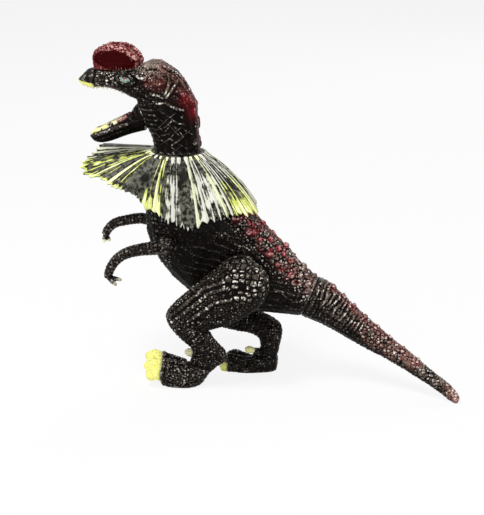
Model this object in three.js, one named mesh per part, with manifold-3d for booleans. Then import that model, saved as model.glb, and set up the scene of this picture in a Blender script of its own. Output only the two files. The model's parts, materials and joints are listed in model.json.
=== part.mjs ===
// A toy dinosaur about 19 cm long: a crested meat-eater that strides on two legs, with a pleated ruff
// round its neck. Millimetres, +Z up. The head looks along -X, and the left side faces -Y.
//
// It comes apart into two torso shells, two head halves with a hinged lower jaw, a tongue and two
// crests, the ruff, the tail, two legs and two arms. Legs, arms, head and tail each turn on a
// mushroom-headed pivot whose flange is trapped inside the torso, and the jaw swings on a steel pin.
import * as THREE from 'three';
import { mergeVertices } from 'three/addons/utils/BufferGeometryUtils.js';
import Module from 'manifold-3d';

const wasm = await Module();
wasm.setup();

// Driving sizes
const hipHeight = 54.5; // sole to hip axis
const torsoReach = 50; // hip axis to the chest
const torsoRise = 60.5; // hip axis to the top of the collar
const torsoHalfWidth = 16;
const shellWall = 2.4;
const headReach = 49; // neck axis to the tip of the snout
const headRise = 44; // bottom of the neck to the crown
const headHalfWidth = 12.3;
const tailReach = 78; // tail joint to the tip, along X
const tailDrop = 47; // tail joint's lower edge to the height of the tip's underside
const tailHalfWidth = 10.3;
const tailSway = 21.3; // how far the tip curls to the left
const legReach = 50; // hip axis to the tip of the foremost claw
const legHalfWidth = 8;
const armReach = 34; // shoulder axis to the front of the hand
const ruffLength = 39; // collar to the front of the hem, along the slope

// Clearances
const turningGap = 0.3; // between faces that turn on each other
const glueGap = 0.12; // round a peg that is glued in its hole
const seatGap = 0.3; // between two pieces that rest on each other
const overrun = 2; // how far a cutter passes the face it cuts
const weldTolerance = 0.0005; // vertices closer than this are one

// Sections of the torso from the collar to the tail joint. Each row is a point under the body and the
// point over it, X then Z, and the half width there: shares of torsoReach, torsoRise, torsoHalfWidth.
const torsoSectionShares = [
  [-0.895, 1.0, -0.455, 1.0, 0.69],
  [-0.93, 0.87, -0.39, 0.89, 0.74],
  [-0.99, 0.7, -0.25, 0.79, 0.86],
  [-1.01, 0.52, -0.09, 0.655, 0.94],
  [-1.0, 0.36, 0.085, 0.52, 0.99],
  [-0.95, 0.22, 0.205, 0.42, 1.0],
  [-0.87, 0.1, 0.325, 0.315, 0.97],
  [-0.74, -0.04, 0.425, 0.235, 0.92],
  [-0.56, -0.16, 0.515, 0.15, 0.85],
  [-0.32, -0.25, 0.6, 0.073, 0.8],
  [-0.04, -0.3, 0.66, 0.028, 0.765],
  [0.25, -0.315, 0.705, 0.005, 0.72],
  [0.56, -0.33, 0.725, -0.002, 0.655],
];
const collarWall = 5;
const tailJointWall = 4;
const torsoSegments = 20;
const hollowSegments = 14;

// Sections of the head from the bottom of the neck, over the mouth corner, to the snout: shares of
// headReach from the neck axis, headRise from the neck's bottom, and headHalfWidth.
const headSectionShares = [
  [-0.23, 0.0, 0.23, 0.0, 0.92],
  [-0.24, 0.075, 0.228, 0.085, 0.92],
  [-0.255, 0.16, 0.215, 0.22, 0.92],
  [-0.3, 0.26, 0.21, 0.36, 0.93],
  [-0.36, 0.35, 0.2, 0.47, 0.95],
  [-0.41, 0.43, 0.175, 0.59, 0.97],
  [-0.425, 0.5, 0.115, 0.72, 0.96],
  [-0.43, 0.55, 0.01, 0.88, 0.92],
  [-0.46, 0.59, -0.16, 0.98, 0.86],
  [-0.505, 0.62, -0.29, 0.975, 0.8],
  [-0.575, 0.655, -0.42, 0.93, 0.74],
  [-0.66, 0.685, -0.57, 0.895, 0.65],
  [-0.75, 0.69, -0.71, 0.89, 0.57],
  [-0.83, 0.68, -0.81, 0.905, 0.5],
  [-0.9, 0.69, -0.885, 0.885, 0.42],
  [-0.955, 0.725, -0.945, 0.82, 0.33],
  [-0.98, 0.75, -0.985, 0.78, 0.18],
];
const headSegments = 20;
const eyeRadius = 2.3;
const eyeSegments = 12;
const eyeShares = [-0.49, 0.825, 0.72]; // along, up and across the head

// The mouth. The hinge sits at the mouth corner, and jaw places are measured from it.
const jawHingeShares = [-0.315, 0.459]; // along and up the head
const jawReach = 28; // hinge to the chin
const jawDrop = 17.5; // hinge to the lowest point of the open jaw
const jawHalfWidth = 7;
const jawSectionShares = [
  [-1.0, -0.83, -0.985, -0.72, 0.3],
  [-0.925, -0.96, -0.915, -0.585, 0.55],
  [-0.8, -1.0, -0.785, -0.465, 0.72],
  [-0.62, -0.935, -0.61, -0.3, 0.83],
  [-0.42, -0.81, -0.415, -0.14, 0.94],
  [-0.23, -0.705, -0.22, 0.03, 1.0],
  [0.0, -0.61, 0.0, 0.17, 1.0],
];
const knuckleRadius = 4.6;
const jawPinRadius = 1.1;
const jawPinHalfLength = 7.8;
const jawSlotShares = [
  [0.0, 0.31],
  [-0.18, 0.36],
  [-0.36, 0.37],
  [-0.66, 0.1],
  [-0.66, -1.1],
  [0.0, -0.85],
];
const jawSegments = 12;
const troughWall = 1.9; // lip of the jaw beside the tongue
const tongueHeight = 2.6;
const troughDepthShare = 0.42; // of each jaw section
const troughPlaces = [2, 11]; // the trough's first jaw section, and the one past its last
const tongueWidthShare = 0.62; // of the trough's half width

// Crests: two plates that lean apart. The outline is in shares of crestLength and crestHeight, from
// the middle of the crest's foot, and the scoop in its outer face follows it inside a rim.
const crestLength = 23;
const crestHeight = 11.8;
const crestThickness = 3;
const crestScoop = 1.1;
const crestRimShare = 0.7; // scoop's outline over the crest's outline
const crestMiddleShare = 0.45; // height that the scoop's outline is drawn in towards
const crestTabLength = 15;
const crestTabDepth = 2.6;
const crestTabThickness = 1.8;
const crestSpread = 3.1; // mid-plane of the head to the middle of a crest's foot
const crestLeanDegrees = 13;
const crestFootShares = [-0.575, 0.905]; // along and up the head
const crestOutlineShares = [
  [-0.49, 0.1],
  [-0.5, 0.45],
  [-0.44, 0.76],
  [-0.24, 0.95],
  [0.0, 1.0],
  [0.22, 0.9],
  [0.4, 0.62],
  [0.48, 0.3],
  [0.36, 0.0],
  [-0.38, 0.0],
];

// Ruff: a flat web clamped under the neck, then a pleated skirt. The two tables go round from the
// front by the left side in equal steps: the skirt's slope below level, and its length.
const ruffWebThickness = 1.2;
const ruffThickness = 1.4;
const ruffRingRadius = 12.3;
const ruffPleatCount = 42;
const pleatDepth = 1.5; // ridge over valley at the hem
const hemScallop = 1.8; // how far a ridge passes the valleys beside it
const ruffSlopeDegrees = [
  13, 20, 22, 30, 47, 65, 68, 64, 55, 47, 43, 42, 45, 46, 50, 54, 58, 60, 60, 52, 33, 14, 4, 6,
];
const ruffLengthShares = [
  1.0, 0.79, 0.67, 0.64, 0.68, 0.7, 0.79, 0.88, 0.9, 0.87, 0.94, 0.96,
  0.96, 0.94, 0.93, 0.91, 0.91, 0.91, 0.9, 0.89, 0.89, 0.9, 0.88, 0.8,
];
const ruffStationShares = [0, 0.25, 0.5, 0.75, 1];
const ruffBendShare = 0.6; // how far the skirt's slope turns from ring to hem, over its mean slope

// Tail: shares of tailReach along, tailDrop up from the tip, tailHalfWidth and tailSway.
const tailSectionShares = [
  [0.0, 1.0, 0.1, 1.43, 1.0, 0.0],
  [0.1, 0.94, 0.18, 1.36, 0.93, 0.01],
  [0.205, 0.86, 0.275, 1.22, 0.79, 0.03],
  [0.31, 0.77, 0.375, 1.08, 0.67, 0.09],
  [0.425, 0.69, 0.48, 0.95, 0.57, 0.19],
  [0.555, 0.61, 0.6, 0.81, 0.47, 0.33],
  [0.69, 0.51, 0.73, 0.68, 0.39, 0.5],
  [0.82, 0.41, 0.855, 0.54, 0.31, 0.68],
  [0.925, 0.32, 0.96, 0.44, 0.25, 0.85],
  [0.985, 0.265, 1.01, 0.36, 0.18, 0.96],
  [1.01, 0.275, 1.02, 0.32, 0.08, 1.0],
];
const tailSegments = 16;

// Legs. Sections run from the round head of the thigh, over the knee, to the ankle: shares of
// legReach, hipHeight and legHalfWidth, with the place across the body as a share of legSpread.
// From the shin's first section on, a leg never swings beside the body and keeps its full width.
const thighDiscRadius = 12.7;
const hipHalfWidth = 13; // mid-plane to the flat that the thigh turns on
const thighSweepShare = 0.68; // of hipHeight: how far out the thigh's inner face is kept off the belly
const thighSweepRise = 3.1; // how much further out the thigh's inner face lies at the sweep's rim
const sweepSegments = 36;
const legSpread = 20.8; // mid-plane to the middle of the knee
const leftLegShares = [
  [0.26, 0.073, 0.186, 0.183, 0.62, 0.9],
  [0.27, -0.035, 0.084, 0.237, 0.9, 0.89],
  [0.228, -0.136, -0.033, 0.248, 1.0, 0.88],
  [0.13, -0.235, -0.144, 0.215, 1.03, 0.88],
  [-0.02, -0.33, -0.28, 0.13, 1.0, 0.9],
  [-0.17, -0.385, -0.43, 0.01, 0.93, 0.94],
  [-0.28, -0.415, -0.58, -0.11, 0.86, 0.97],
  [-0.315, -0.425, -0.69, -0.21, 0.82, 0.99],
  [-0.32, -0.435, -0.74, -0.3, 0.8, 0.99],
  [-0.3, -0.465, -0.72, -0.375, 0.79, 0.97],
  [-0.275, -0.515, -0.665, -0.455, 0.77, 0.93],
  [-0.235, -0.57, -0.6, -0.53, 0.73, 0.88],
  [-0.19, -0.625, -0.55, -0.6, 0.69, 0.82],
  [-0.15, -0.685, -0.52, -0.68, 0.66, 0.76],
  [-0.155, -0.745, -0.53, -0.75, 0.64, 0.72],
  [-0.22, -0.8, -0.55, -0.82, 0.6, 0.7],
];
const rightLegShares = [
  [0.26, 0.073, 0.186, 0.183, 0.62, 0.9],
  [0.27, -0.035, 0.084, 0.237, 0.9, 0.89],
  [0.235, -0.125, -0.033, 0.248, 1.0, 0.88],
  [0.16, -0.215, -0.15, 0.2, 1.03, 0.88],
  [0.03, -0.3, -0.3, 0.085, 1.0, 0.9],
  [-0.1, -0.355, -0.44, -0.06, 0.93, 0.94],
  [-0.18, -0.385, -0.56, -0.2, 0.85, 0.97],
  [-0.2, -0.41, -0.62, -0.34, 0.8, 0.99],
  [-0.18, -0.42, -0.58, -0.48, 0.78, 0.98],
  [-0.12, -0.43, -0.46, -0.61, 0.75, 0.93],
  [-0.03, -0.445, -0.3, -0.66, 0.71, 0.87],
  [0.08, -0.47, -0.12, -0.68, 0.67, 0.8],
  [0.2, -0.505, 0.02, -0.685, 0.64, 0.72],
  [0.31, -0.55, 0.1, -0.715, 0.62, 0.63],
  [0.345, -0.63, 0.125, -0.77, 0.62, 0.54],
  [0.325, -0.76, 0.115, -0.84, 0.64, 0.47],
  [0.3, -0.87, 0.09, -0.9, 0.68, 0.43],
];
// The foot under each ankle, from heel to toes: along, underside, top, half width and place across.
// Undersides past -1 lie below the ground, and the sole is cut flat there.
const leftFootShares = [
  [-0.26, -0.83, -0.78, 0.45, 0.65],
  [-0.34, -0.9, -0.76, 0.65, 0.66],
  [-0.42, -1.01, -0.77, 0.85, 0.7],
  [-0.52, -1.06, -0.795, 1.0, 0.74],
  [-0.64, -1.06, -0.79, 1.06, 0.75],
  [-0.74, -1.04, -0.775, 1.08, 0.75],
  [-0.84, -0.96, -0.775, 1.05, 0.75],
];
const rightFootShares = [
  [0.3, -1.01, -0.86, 0.5, 0.43],
  [0.24, -1.05, -0.82, 0.78, 0.42],
  [0.12, -1.06, -0.85, 0.9, 0.4],
  [0.0, -1.06, -0.89, 1.0, 0.39],
  [-0.09, -1.05, -0.9, 0.98, 0.39],
];
// Toes: root along, across and up, tip along, across and up, as shares of legReach, legSpread, hipHeight.
const leftToeShares = [
  [-0.6, 0.97, -0.9, -0.845, 1.04, -0.875],
  [-0.6, 0.74, -0.885, -0.905, 0.74, -0.835],
  [-0.6, 0.51, -0.865, -0.92, 0.44, -0.79],
];
const rightToeShares = [
  [0.06, 0.55, -0.97, -0.16, 0.67, -0.925],
  [0.06, 0.39, -0.965, -0.21, 0.4, -0.925],
  [0.06, 0.23, -0.97, -0.18, 0.13, -0.945],
];
const toeRadius = 3.5;
const clawLength = 4.6;
const clawTipRadius = 1.5;
const clawBellyShare = 0.6; // how far along a claw, or a hallux or finger, its taper starts
const halluxRadius = 2.3;
const halluxLength = 7.5;
const leftHalluxShares = [-0.46, 0.6, -0.765]; // root along, across and up
const rightHalluxShares = [0.17, 0.38, -0.86];
const halluxAim = [-0.8, 0.35, 0.5]; // along, towards the mid-plane, up
const shinFirstSection = 10;
const legSegments = 16;
const toeSegments = 8;

// Arms. The path leaves the shoulder axis: shares of armReach along and up, with the place across the
// body as a share of armSpread and the radius as a share of armRadius.
const armSpread = 15.6;
const armRadius = 3.4;
const shoulderHalfWidth = 12;
const shoulderDiscRadius = 4.6;
const shoulderShares = [-0.76, 0.298]; // along and up the torso
const leftArmShares = [
  [0.0, 0.0, 1.0, 1.1],
  [-0.16, -0.045, 1.0, 1.0],
  [-0.41, -0.09, 0.98, 0.86],
  [-0.63, -0.175, 0.96, 0.78],
  [-0.765, -0.3, 0.94, 0.72],
  [-0.85, -0.46, 0.92, 0.64],
  [-0.86, -0.54, 0.91, 0.6],
];
const rightArmShares = [
  [0.0, 0.0, 1.0, 1.1],
  [-0.2, 0.06, 1.0, 0.95],
  [-0.53, 0.13, 0.98, 0.82],
  [-0.78, 0.09, 0.96, 0.76],
  [-0.955, 0.04, 0.94, 0.72],
  [-1.06, -0.06, 0.92, 0.66],
  [-1.1, -0.14, 0.91, 0.6],
];
// Fingers leave the end of the arm: along, up and across, in shares of fingerLength.
const fingerLength = 6.2;
const fingerRadius = 1.15;
const leftFingerShares = [
  [1.1, -0.1, 0.1],
  [0.75, -0.45, 0.5],
  [0.55, -0.4, -0.4],
];
const rightFingerShares = [
  [0.35, -0.6, 0.1],
  [-0.05, -0.65, 0.4],
  [-0.1, -0.6, -0.4],
];
const armSegments = 10;
const fingerSegments = 6;

// Pivots: a shaft glued in the turning piece, and a flange behind the torso's wall.
const hipPivot = { shaft: 4, flange: 6.4, flangeHeight: 1.8, depth: 7, wall: 2.8 };
const shoulderPivot = { shaft: 1.7, flange: 3, flangeHeight: 1.3, depth: 3.2, wall: 2.2 };
const neckPivot = { shaft: 5, flange: 7.6, flangeHeight: 2, depth: 5.5, wall: collarWall };
const tailPivot = { shaft: 4, flange: 6.2, flangeHeight: 2, depth: 7, wall: tailJointWall };
const pivotSegments = 20;

// Pins that line the halves up, at places between the pivots.
const pinRadius = 1.3;
const pinLength = 3;
const pinBossRadius = 3;
const torsoPinShares = [
  [-0.55, 0.6],
  [-0.5, 0.16],
  [0.33, -0.09],
];
const headPinShares = [
  [0.08, 0.42],
  [-0.5, 0.75],
];
const pinSegments = 12;

// Knobs down the spine, in cross rows of two and three on the torso and in one row on the tail. The
// first and last rows are given as shares of the way along the section tables.
const knobRadius = 1.9;
const tailTipKnobRadius = 0.9;
const knobSinkShare = 0.45; // share of a knob's radius that its middle lies under the skin
const knobTurnDegrees = 19; // from one knob to the next, round the body
const torsoKnobRows = { firstShare: 0.4, lastShare: 0.9, count: 7 };
const tailKnobRows = { firstShare: 0.12, lastShare: 0.62, count: 8 };

// Paints
const black = { color: 0x17130f, roughness: 0.45, metalness: 0 };
const darkRed = { color: 0x5f1216, roughness: 0.5, metalness: 0 };
const yellowGreen = { color: 0xa9ab3a, roughness: 0.55, metalness: 0 };
const tonguePink = { color: 0x8a3438, roughness: 0.5, metalness: 0 };
const greyPlastic = { color: 0x8c8c88, roughness: 0.5, metalness: 0 };
const steel = { color: 0xb8bcc0, roughness: 0.3, metalness: 1 };

const radians = THREE.MathUtils.degToRad;
const yAxis = new THREE.Vector3(0, 1, 0);
const zAxis = new THREE.Vector3(0, 0, 1);
const left = -1;
const right = 1;

// Solids

// A closed surface as a solid, with its shared corners merged. One that was wound inwards is turned.
function solidOf(geometry) {
  const bare = new THREE.BufferGeometry();
  bare.setAttribute('position', geometry.getAttribute('position').clone());
  if (geometry.index) bare.setIndex(geometry.index.clone());
  const merged = mergeVertices(bare, weldTolerance);
  const corners = merged.getAttribute('position').array;
  const faces = Uint32Array.from(merged.index.array);
  if (signedVolume(corners, faces) < 0) {
    for (let i = 0; i < faces.length; i += 3) [faces[i], faces[i + 1]] = [faces[i + 1], faces[i]];
  }
  return new wasm.Manifold(new wasm.Mesh({ numProp: 3, vertProperties: corners, triVerts: faces }));
}

function signedVolume(corners, faces) {
  const at = (i) => new THREE.Vector3().fromArray(corners, 3 * i);
  let sum = 0;
  for (let i = 0; i < faces.length; i += 3) {
    sum += at(faces[i]).dot(at(faces[i + 1]).cross(at(faces[i + 2])));
  }
  return sum;
}

function meshOf(name, solid, paint) {
  const made = solid.getMesh();
  const corners = new Float32Array(made.numVert * 3);
  for (let i = 0; i < made.numVert; i++) {
    corners.set(made.vertProperties.subarray(i * made.numProp, i * made.numProp + 3), i * 3);
  }
  const geometry = new THREE.BufferGeometry();
  geometry.setAttribute('position', new THREE.BufferAttribute(corners, 3));
  geometry.setIndex(new THREE.BufferAttribute(Uint32Array.from(made.triVerts), 1));
  geometry.computeVertexNormals();
  const mesh = new THREE.Mesh(geometry, new THREE.MeshStandardMaterial(paint));
  mesh.name = name;
  return mesh;
}

const joined = (solids) => solids.reduce((all, one) => all.add(one));

// A cylinder along Y between two heights.
function roundAlongY(radius, from, to, x, z, around = pivotSegments) {
  const shape = new THREE.CylinderGeometry(radius, radius, Math.abs(to - from), around);
  return solidOf(shape.translate(x, (from + to) / 2, z));
}

// The half of space on one side of the mid-plane, as a box well past the figure.
function halfSpace(side) {
  const span = 4 * (torsoReach + torsoRise);
  return solidOf(new THREE.BoxGeometry(span, span, span).translate(0, (side * span) / 2, 0));
}

// Lofts

// Share rows in millimetres: lower X and Z, upper X and Z, half width, place across.
function sized(rows, reach, rise, halfWidth, across = 0) {
  return rows.map(([ax, az, bx, bz, half, side = 0]) => [
    ax * reach, az * rise, bx * reach, bz * rise, half * halfWidth, side * across,
  ]);
}

// Sections in between, on smooth curves through the given ones.
function smoothed(rows, perSpan) {
  const lower = new THREE.CatmullRomCurve3(rows.map((r) => new THREE.Vector3(r[0], r[1], r[4])));
  const upper = new THREE.CatmullRomCurve3(rows.map((r) => new THREE.Vector3(r[2], r[3], r[5])));
  const steps = (rows.length - 1) * perSpan;
  return Array.from({ length: steps + 1 }, (_, i) => {
    const a = lower.getPoint(i / steps);
    const b = upper.getPoint(i / steps);
    return [a.x, a.y, b.x, b.y, a.z, b.z];
  });
}

// The oval through a section's two points, with its half width along Y.
function ringOf([ax, az, bx, bz, half, side], around) {
  return Array.from({ length: around }, (_, i) => {
    const turn = (2 * Math.PI * i) / around;
    const share = (1 - Math.cos(turn)) / 2;
    return new THREE.Vector3(
      ax + (bx - ax) * share, side + half * Math.sin(turn), az + (bz - az) * share,
    );
  });
}

// A closed skin over rings that hold the same number of points.
function skinOver(rings) {
  const around = rings[0].length;
  const points = rings.flat();
  const middle = (ring) => ring.reduce((sum, p) => sum.add(p), new THREE.Vector3()).divideScalar(around);
  points.push(middle(rings[0]), middle(rings.at(-1)));
  const faces = [];
  const lastRing = (rings.length - 1) * around;
  for (let i = 0; i < around; i++) {
    const next = (i + 1) % around;
    for (let r = 0; r < lastRing; r += around) {
      faces.push(r + i, r + next, r + around + i, r + next, r + around + next, r + around + i);
    }
    faces.push(points.length - 2, next, i, points.length - 1, lastRing + i, lastRing + next);
  }
  return closedSurface(points, faces);
}

function closedSurface(points, faces) {
  const geometry = new THREE.BufferGeometry().setFromPoints(points);
  geometry.setIndex(faces);
  return geometry;
}

const loft = (rows, around) => solidOf(skinOver(rows.map((row) => ringOf(row, around))));

// A section drawn in by a wall's thickness.
function drawnIn([ax, az, bx, bz, half, side], wall) {
  const inward = new THREE.Vector2(bx - ax, bz - az).setLength(wall);
  return [ax + inward.x, az + inward.y, bx - inward.x, bz - inward.y, half - wall, side];
}

// A section moved along a direction in the X-Z plane.
const moved = ([ax, az, bx, bz, half, side], x, z) => [ax + x, az + z, bx + x, bz + z, half, side];

// A round limb along a smooth path. Each stop is a place and a radius.
function limb(stops, perSpan, around) {
  const path = new THREE.CatmullRomCurve3(stops.map((s) => s.at));
  const steps = (stops.length - 1) * perSpan;
  const rings = Array.from({ length: steps + 1 }, (_, i) => {
    const share = i / steps;
    const span = Math.min(Math.floor(share * (stops.length - 1)), stops.length - 2);
    const radius = THREE.MathUtils.lerp(
      stops[span].radius, stops[span + 1].radius, share * (stops.length - 1) - span,
    );
    const along = path.getTangent(share);
    const side = yAxis.clone().addScaledVector(along, -along.dot(yAxis)).normalize();
    const up = new THREE.Vector3().crossVectors(along, side);
    return Array.from({ length: around }, (_, k) => {
      const turn = (2 * Math.PI * k) / around;
      return path.getPoint(share)
        .addScaledVector(side, radius * Math.cos(turn))
        .addScaledVector(up, radius * Math.sin(turn));
    });
  });
  return solidOf(skinOver(rings));
}

// A closed outline in the X-Z plane, extruded between two places across.
function plateGeometry(outline, from, to) {
  const shape = new THREE.Shape(outline.map(([x, z]) => new THREE.Vector2(x, z)));
  const geometry = new THREE.ExtrudeGeometry(shape, { depth: Math.abs(to - from), bevelEnabled: false });
  geometry.rotateX(Math.PI / 2);
  return geometry.translate(0, Math.max(from, to), 0);
}

// Pivots

// A pivot stands on +Z: the wall it turns in ends at zero, and the turning piece starts a gap above.
function pivotPin(pivot, gap, place) {
  const bottom = -pivot.wall - turningGap - pivot.flangeHeight;
  const neck = -pivot.wall - turningGap;
  return lathed([
    [0, bottom], [pivot.flange, bottom], [pivot.flange, neck],
    [pivot.shaft, neck], [pivot.shaft, gap + pivot.depth], [0, gap + pivot.depth],
  ], place);
}

// The hole through the wall and the room behind it for the flange.
function pivotHole(pivot, place) {
  const room = pivot.flangeHeight + 2 * turningGap;
  const hole = pivot.shaft + turningGap;
  const wide = pivot.flange + turningGap;
  return lathed([
    [0, -pivot.wall - room], [wide, -pivot.wall - room], [wide, -pivot.wall],
    [hole, -pivot.wall], [hole, overrun], [0, overrun],
  ], place);
}

// The blind hole that the shaft is glued in.
function glueHole(pivot, gap, place) {
  const radius = pivot.shaft + glueGap;
  const top = gap + pivot.depth + seatGap;
  return lathed([[0, -overrun], [radius, -overrun], [radius, top], [0, top]], place);
}

// A profile of radius and height turned round +Z, then stood at its place.
function lathed(profile, place) {
  const points = profile.map(([radius, height]) => new THREE.Vector2(radius, height));
  return solidOf(new THREE.LatheGeometry(points, pivotSegments).rotateX(Math.PI / 2).applyMatrix4(place));
}

// Where a pivot stands: the middle of the wall's face, and the way the turning piece lies.
function stand(x, y, z, aim) {
  const turn = new THREE.Quaternion().setFromUnitVectors(zAxis, aim.clone().normalize());
  return new THREE.Matrix4().compose(new THREE.Vector3(x, y, z), turn, new THREE.Vector3(1, 1, 1));
}

// Places that several pieces share, measured from the hip axis on the mid-plane

const thighSweepRadius = thighSweepShare * hipHeight;
const torsoSections = sized(torsoSectionShares, torsoReach, torsoRise, torsoHalfWidth);
const collar = torsoSections[0];
const rump = torsoSections.at(-1);
const neckX = (collar[0] + collar[2]) / 2;
const ruffZ = torsoRise + turningGap;
const neckGap = turningGap + ruffWebThickness + turningGap; // collar to the bottom of the neck
const headZ = torsoRise + neckGap;
const rumpMiddle = [(rump[0] + rump[2]) / 2, (rump[1] + rump[3]) / 2];
const rumpAcross = new THREE.Vector2(rump[2] - rump[0], rump[3] - rump[1]).normalize();
const tailAim = new THREE.Vector3(rumpAcross.y, 0, -rumpAcross.x);
const shoulder = [shoulderShares[0] * torsoReach, shoulderShares[1] * torsoRise];
const jawHinge = [neckX + jawHingeShares[0] * headReach, headZ + jawHingeShares[1] * headRise];

const neckStand = stand(neckX, 0, torsoRise, zAxis);
const tailStand = stand(rumpMiddle[0], 0, rumpMiddle[1], tailAim);
const hipStand = (side) => stand(0, side * hipHalfWidth, 0, yAxis.clone().multiplyScalar(side));
const shoulderStand = (side) => (
  stand(shoulder[0], side * shoulderHalfWidth, shoulder[1], yAxis.clone().multiplyScalar(side))
);

// Torso

// The room that a thigh sweeps, a dish round the hip axis that opens outwards.
function thighSweep(side) {
  const far = 2 * torsoHalfWidth;
  const dish = new THREE.LatheGeometry([
    [0, hipHalfWidth], [thighDiscRadius, hipHalfWidth], [thighSweepRadius, hipHalfWidth + thighSweepRise],
    [thighSweepRadius, far], [0, far],
  ].map(([radius, across]) => new THREE.Vector2(radius, across)), sweepSegments);
  if (side === left) dish.rotateX(Math.PI);
  return solidOf(dish);
}

// Knobs along the upper outline of a row of sections, shrinking from one radius to another. Each cross
// row takes the next entry of the angle lists, which are turns away from the spine.
function knobsAlong(sections, rows, startRadius, endRadius, angleLists) {
  const upper = new THREE.CatmullRomCurve3(sections.map((r) => new THREE.Vector3(r[2], r[5] ?? 0, r[3])));
  const lower = new THREE.CatmullRomCurve3(sections.map((r) => new THREE.Vector3(r[0], r[5] ?? 0, r[1])));
  const spans = sections.length - 1;
  const knobs = [];
  for (let i = 0; i < rows.count; i++) {
    const along = i / (rows.count - 1);
    const place = THREE.MathUtils.lerp(rows.firstShare, rows.lastShare, along);
    const radius = THREE.MathUtils.lerp(startRadius, endRadius, along);
    const half = sections[Math.round(place * spans)][4];
    const top = upper.getPoint(place);
    const inward = lower.getPoint(place).sub(top);
    const sunk = inward.clone().setLength(radius * knobSinkShare);
    for (const angle of angleLists[i % angleLists.length].map(radians)) {
      const at = top.clone().addScaledVector(inward, (1 - Math.cos(angle)) / 2).add(sunk);
      at.y += (half - radius * knobSinkShare) * Math.sin(angle);
      knobs.push(solidOf(new THREE.IcosahedronGeometry(radius).translate(at.x, at.y, at.z)));
    }
  }
  return knobs;
}

function torsoShells() {
  const skin = loft(smoothed(torsoSections, 2), torsoSegments);
  const inner = torsoSections.slice(2, -1).map((row) => drawnIn(row, shellWall));
  inner.unshift(drawnIn(moved(collar, 0, -collarWall), shellWall));
  inner.push(drawnIn(moved(rump, -tailAim.x * tailJointWall, -tailAim.z * tailJointWall), shellWall));
  const knobTurns = [[-2 * knobTurnDegrees, 0, 2 * knobTurnDegrees], [-knobTurnDegrees, knobTurnDegrees]];
  const knobs = knobsAlong(torsoSections, torsoKnobRows, knobRadius, knobRadius, knobTurns);
  let body = skin.add(joined(knobs));
  const hollow = loft(inner, hollowSegments);
  const bosses = [];
  for (const side of [left, right]) {
    const hipBoss = roundAlongY(thighDiscRadius - seatGap, 0, side * hipHalfWidth, 0, 0);
    const shoulderBoss = roundAlongY(shoulderDiscRadius, 0, side * shoulderHalfWidth, ...shoulder);
    body = body.add(hipBoss).add(shoulderBoss).subtract(thighSweep(side));
    const pocket = roundAlongY(
      shoulderDiscRadius + turningGap, side * shoulderHalfWidth, side * 2 * torsoHalfWidth, ...shoulder,
    );
    body = body.subtract(pocket);
    bosses.push(roundAlongY(
      hipPivot.flange + shellWall, side * (hipHalfWidth - hipPivot.wall), side * torsoHalfWidth, 0, 0,
    ));
    bosses.push(roundAlongY(
      shoulderPivot.flange + shellWall, side * (shoulderHalfWidth - shoulderPivot.wall),
      side * torsoHalfWidth, ...shoulder,
    ));
  }
  for (const [x, z] of torsoPinShares) {
    bosses.push(roundAlongY(
      pinBossRadius, -torsoHalfWidth, torsoHalfWidth, x * torsoReach, z * torsoRise, pinSegments,
    ));
  }
  body = body.subtract(hollow.subtract(joined(bosses)));
  for (const side of [left, right]) {
    body = body
      .subtract(pivotHole(hipPivot, hipStand(side)))
      .subtract(pivotHole(shoulderPivot, shoulderStand(side)));
  }
  body = body.subtract(pivotHole(neckPivot, neckStand)).subtract(pivotHole(tailPivot, tailStand));
  return halves(body, torsoPinShares.map(([x, z]) => [x * torsoReach, z * torsoRise]));
}

// A body cut at the mid-plane. The left half carries pins, and the right half has their holes.
function halves(body, pinPlaces) {
  let leftHalf = body.intersect(halfSpace(left));
  let rightHalf = body.intersect(halfSpace(right));
  for (const [x, z] of pinPlaces) {
    leftHalf = leftHalf.add(roundAlongY(pinRadius, -pinLength, pinLength, x, z, pinSegments));
    rightHalf = rightHalf.subtract(roundAlongY(
      pinRadius + glueGap, -overrun, pinLength + seatGap, x, z, pinSegments,
    ));
  }
  return [leftHalf, rightHalf];
}

// Head

function headSkin() {
  const rows = sized(headSectionShares, headReach, headRise, headHalfWidth)
    .map((row) => moved(row, neckX, headZ));
  return skinOver(smoothed(rows, 2).map((row) => ringOf(row, headSegments)));
}

function headHalves() {
  let body = solidOf(headSkin());
  for (const side of [left, right]) {
    const eye = new THREE.SphereGeometry(eyeRadius, eyeSegments, eyeSegments / 2);
    const [along, up, across] = eyeShares;
    body = body.add(solidOf(eye.translate(
      neckX + along * headReach, side * across * headHalfWidth, headZ + up * headRise,
    )));
  }
  const slotHalf = jawHalfWidth + turningGap;
  const pinHoleHalf = jawPinHalfLength + seatGap;
  const slot = jawSlotShares.map(([x, z]) => [
    jawHinge[0] + x * jawReach + (x === 0 ? turningGap : 0), jawHinge[1] + z * jawDrop,
  ]);
  body = body
    .subtract(solidOf(plateGeometry(slot, -slotHalf, slotHalf)))
    .subtract(roundAlongY(knuckleRadius + turningGap, -slotHalf, slotHalf, ...jawHinge))
    .subtract(roundAlongY(
      jawPinRadius + glueGap, -pinHoleHalf, pinHoleHalf, ...jawHinge, pinSegments,
    ))
    .subtract(glueHole(neckPivot, neckGap, neckStand));
  for (const side of [left, right]) body = body.subtract(crestTab(side, seatGap));
  const pins = headPinShares.map(([x, z]) => [neckX + x * headReach, headZ + z * headRise]);
  return halves(body, pins);
}

const jawSections = () => smoothed(
  sized(jawSectionShares, jawReach, jawDrop, jawHalfWidth).map((row) => moved(row, ...jawHinge)), 2,
);

// The jaw's sections that the trough passes, with the trough's floor in place of the underside.
const troughSections = () => jawSections().slice(...troughPlaces).map(([ax, az, bx, bz, half]) => {
  const down = new THREE.Vector2(ax - bx, az - bz).multiplyScalar(troughDepthShare);
  return [bx + down.x, bz + down.y, bx - down.x, bz - down.y, half - troughWall, 0];
});

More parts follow.
